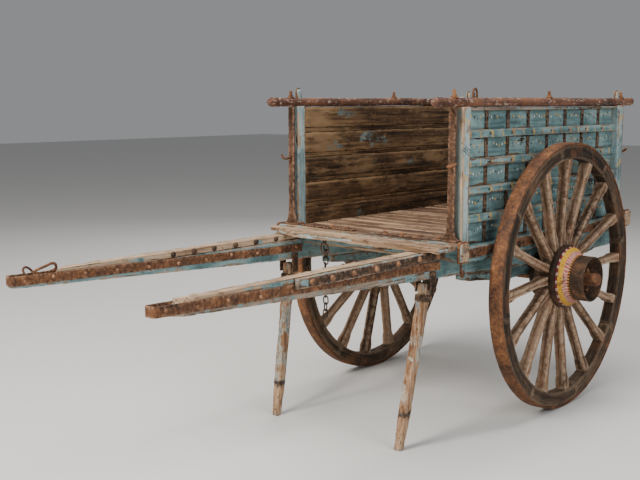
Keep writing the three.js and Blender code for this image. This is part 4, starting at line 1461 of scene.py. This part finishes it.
def makeHangings():
    low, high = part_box("front_footboard")
    at = Vector((-0.121, low.y + 0.028, low.z))
    eye = rod("footboard_eye", [at + Vector((-0.008, 0, 0.006)), at + Vector((-0.008, 0, -0.012)), at + Vector((0, 0, -0.02)),
                                at + Vector((0.008, 0, -0.012)), at + Vector((0.008, 0, 0.006))], 0.004)
    hanging = ringOf("footboard_ring", at + Vector((0, 0, -0.044)), 0.028, 0.0042, (0.15, 1, 0.1))
    for piece in (eye, hanging):
        dress(roundIron(piece), finishes["iron"])

    form = chainForm
    low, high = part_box("front_cross_beam")
    y = (low.y + high.y) / 2
    half, wide = form["long"] / 2 - form["wide"] / 2, form["wide"] / 2
    oval = []
    for i in range(12):
        angle = 2 * math.pi * i / 12
        stretch = half if math.sin(angle) > 0 else -half
        oval.append((math.cos(angle) * wide, 0, math.sin(angle) * wide + stretch))
    link = rod("link", oval, form["wire"], closed=True)
    links = []
    for i in range(form["links"]):
        turn = Matrix.Rotation(math.radians(90 * (i % 2) + 20 + random.uniform(-14, 14)), 4, "Z")
        swing = Vector((0.004 * math.sin(i * 0.9), 0.003 * math.cos(i), low.z - 0.012 - i * form["pitch"]))
        links.append(copyOf(link, "link", Matrix.Translation(Vector((form["x"], y, 0)) + swing) @ turn))
    bpy.data.objects.remove(link)
    dress(roundIron(joinAs("front_chain", links)), finishes["iron"])

    # right shaft's tip
    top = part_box("shaft_right")[1].z
    x = sum(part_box("shaft_right")[i].x for i in (0, 1)) / 2
    tipRing = ringOf("shaft_right_tip_ring", Vector((x + 0.010, ahead(2.525), top + 0.026)), 0.028, 0.005, (1, 0.45, 0.75))
    hook = rod("shaft_right_tip_hook", [
        (x, ahead(2.50), top - 0.01), (x, ahead(2.50), top + 0.02), (x, ahead(2.485), top + 0.032),
        (x, ahead(2.44), top + 0.042), (x, ahead(2.41), top + 0.052), (x + 0.004, ahead(2.395), top + 0.048),
        (x + 0.004, ahead(2.39), top + 0.030), (x, ahead(2.40), top + 0.02), (x, ahead(2.43), top + 0.016)], 0.006)
    for piece in (tipRing, hook):
        dress(roundIron(piece), finishes["rust"])

    low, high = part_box("top_rail_left")
    x, z = (low.x + high.x) / 2, (low.z + high.z) / 2 + 0.014
    y = ahead(0.711)
    loop = rod("top_rail_left_loop", [
        (x, y - 0.017, z), (x, y - 0.018, z + 0.03), (x, y - 0.011, z + 0.046), (x, y, z + 0.051),
        (x, y + 0.011, z + 0.046), (x, y + 0.018, z + 0.03), (x, y + 0.017, z)], 0.005)
    dress(roundIron(loop), finishes["rust"])


makeHangings()
print("small iron done")


# Floor, light and camera

def makeStage():
    clearSelection()
    bpy.ops.mesh.primitive_plane_add(size=60, location=(0, 0, 0))
    ground = newPiece("studio_floor")
    material = bpy.data.materials.new("pale_floor")
    material.use_nodes = True
    surface = material.node_tree.nodes["Principled BSDF"]
    surface.inputs["Base Color"].default_value = (0.62, 0.61, 0.59, 1)
    surface.inputs["Roughness"].default_value = 0.9
    ground.data.materials.append(material)

    world = bpy.data.worlds.new("studio")
    bpy.context.scene.world = world
    world.use_nodes = True
    world.node_tree.nodes["Background"].inputs["Color"].default_value = (0.9, 0.92, 0.95, 1)
    world.node_tree.nodes["Background"].inputs["Strength"].default_value = 0.3

    lights = [  # name, place, watts, size, colour
        ("key", (-0.6, -6.0, 5.4), 820, 2.6, (1.0, 0.96, 0.9)),
        ("fill", (5.5, -1.5, 3.4), 190, 3.0, (0.95, 0.97, 1.0)),
        ("top", (0.5, 0.8, 6.5), 260, 4.5, (1.0, 0.98, 0.95)),
        ("back", (-4.0, 4.5, 4.5), 160, 3.5, (1.0, 0.97, 0.93)),
    ]
    aim = Vector((0.1, 0.2, 0.8))
    for name, place, watts, size, colour in lights:
        lamp = bpy.data.lights.new(name, "AREA")
        lamp.energy = watts
        lamp.size = size
        lamp.color = colour
        holder = bpy.data.objects.new(name, lamp)
        holder.location = place
        holder.rotation_euler = (aim - Vector(place)).to_track_quat("-Z", "Y").to_euler()
        bpy.context.scene.collection.objects.link(holder)


cameraForm = {"place": (2.978, -3.8805, 1.6155), "azimuth": 40.96, "down": 8.156, "lens": 54.95}


def makeCamera():
    lens = bpy.data.cameras.new("camera")
    lens.lens = cameraForm["lens"]
    lens.sensor_width = 36
    lens.sensor_fit = "HORIZONTAL"
    holder = bpy.data.objects.new("camera", lens)
    holder.location = cameraForm["place"]
    holder.rotation_euler = (math.radians(90 - cameraForm["down"]), 0, math.radians(cameraForm["azimuth"]))
    bpy.context.scene.collection.objects.link(holder)
    bpy.context.scene.camera = holder


makeStage()
makeCamera()

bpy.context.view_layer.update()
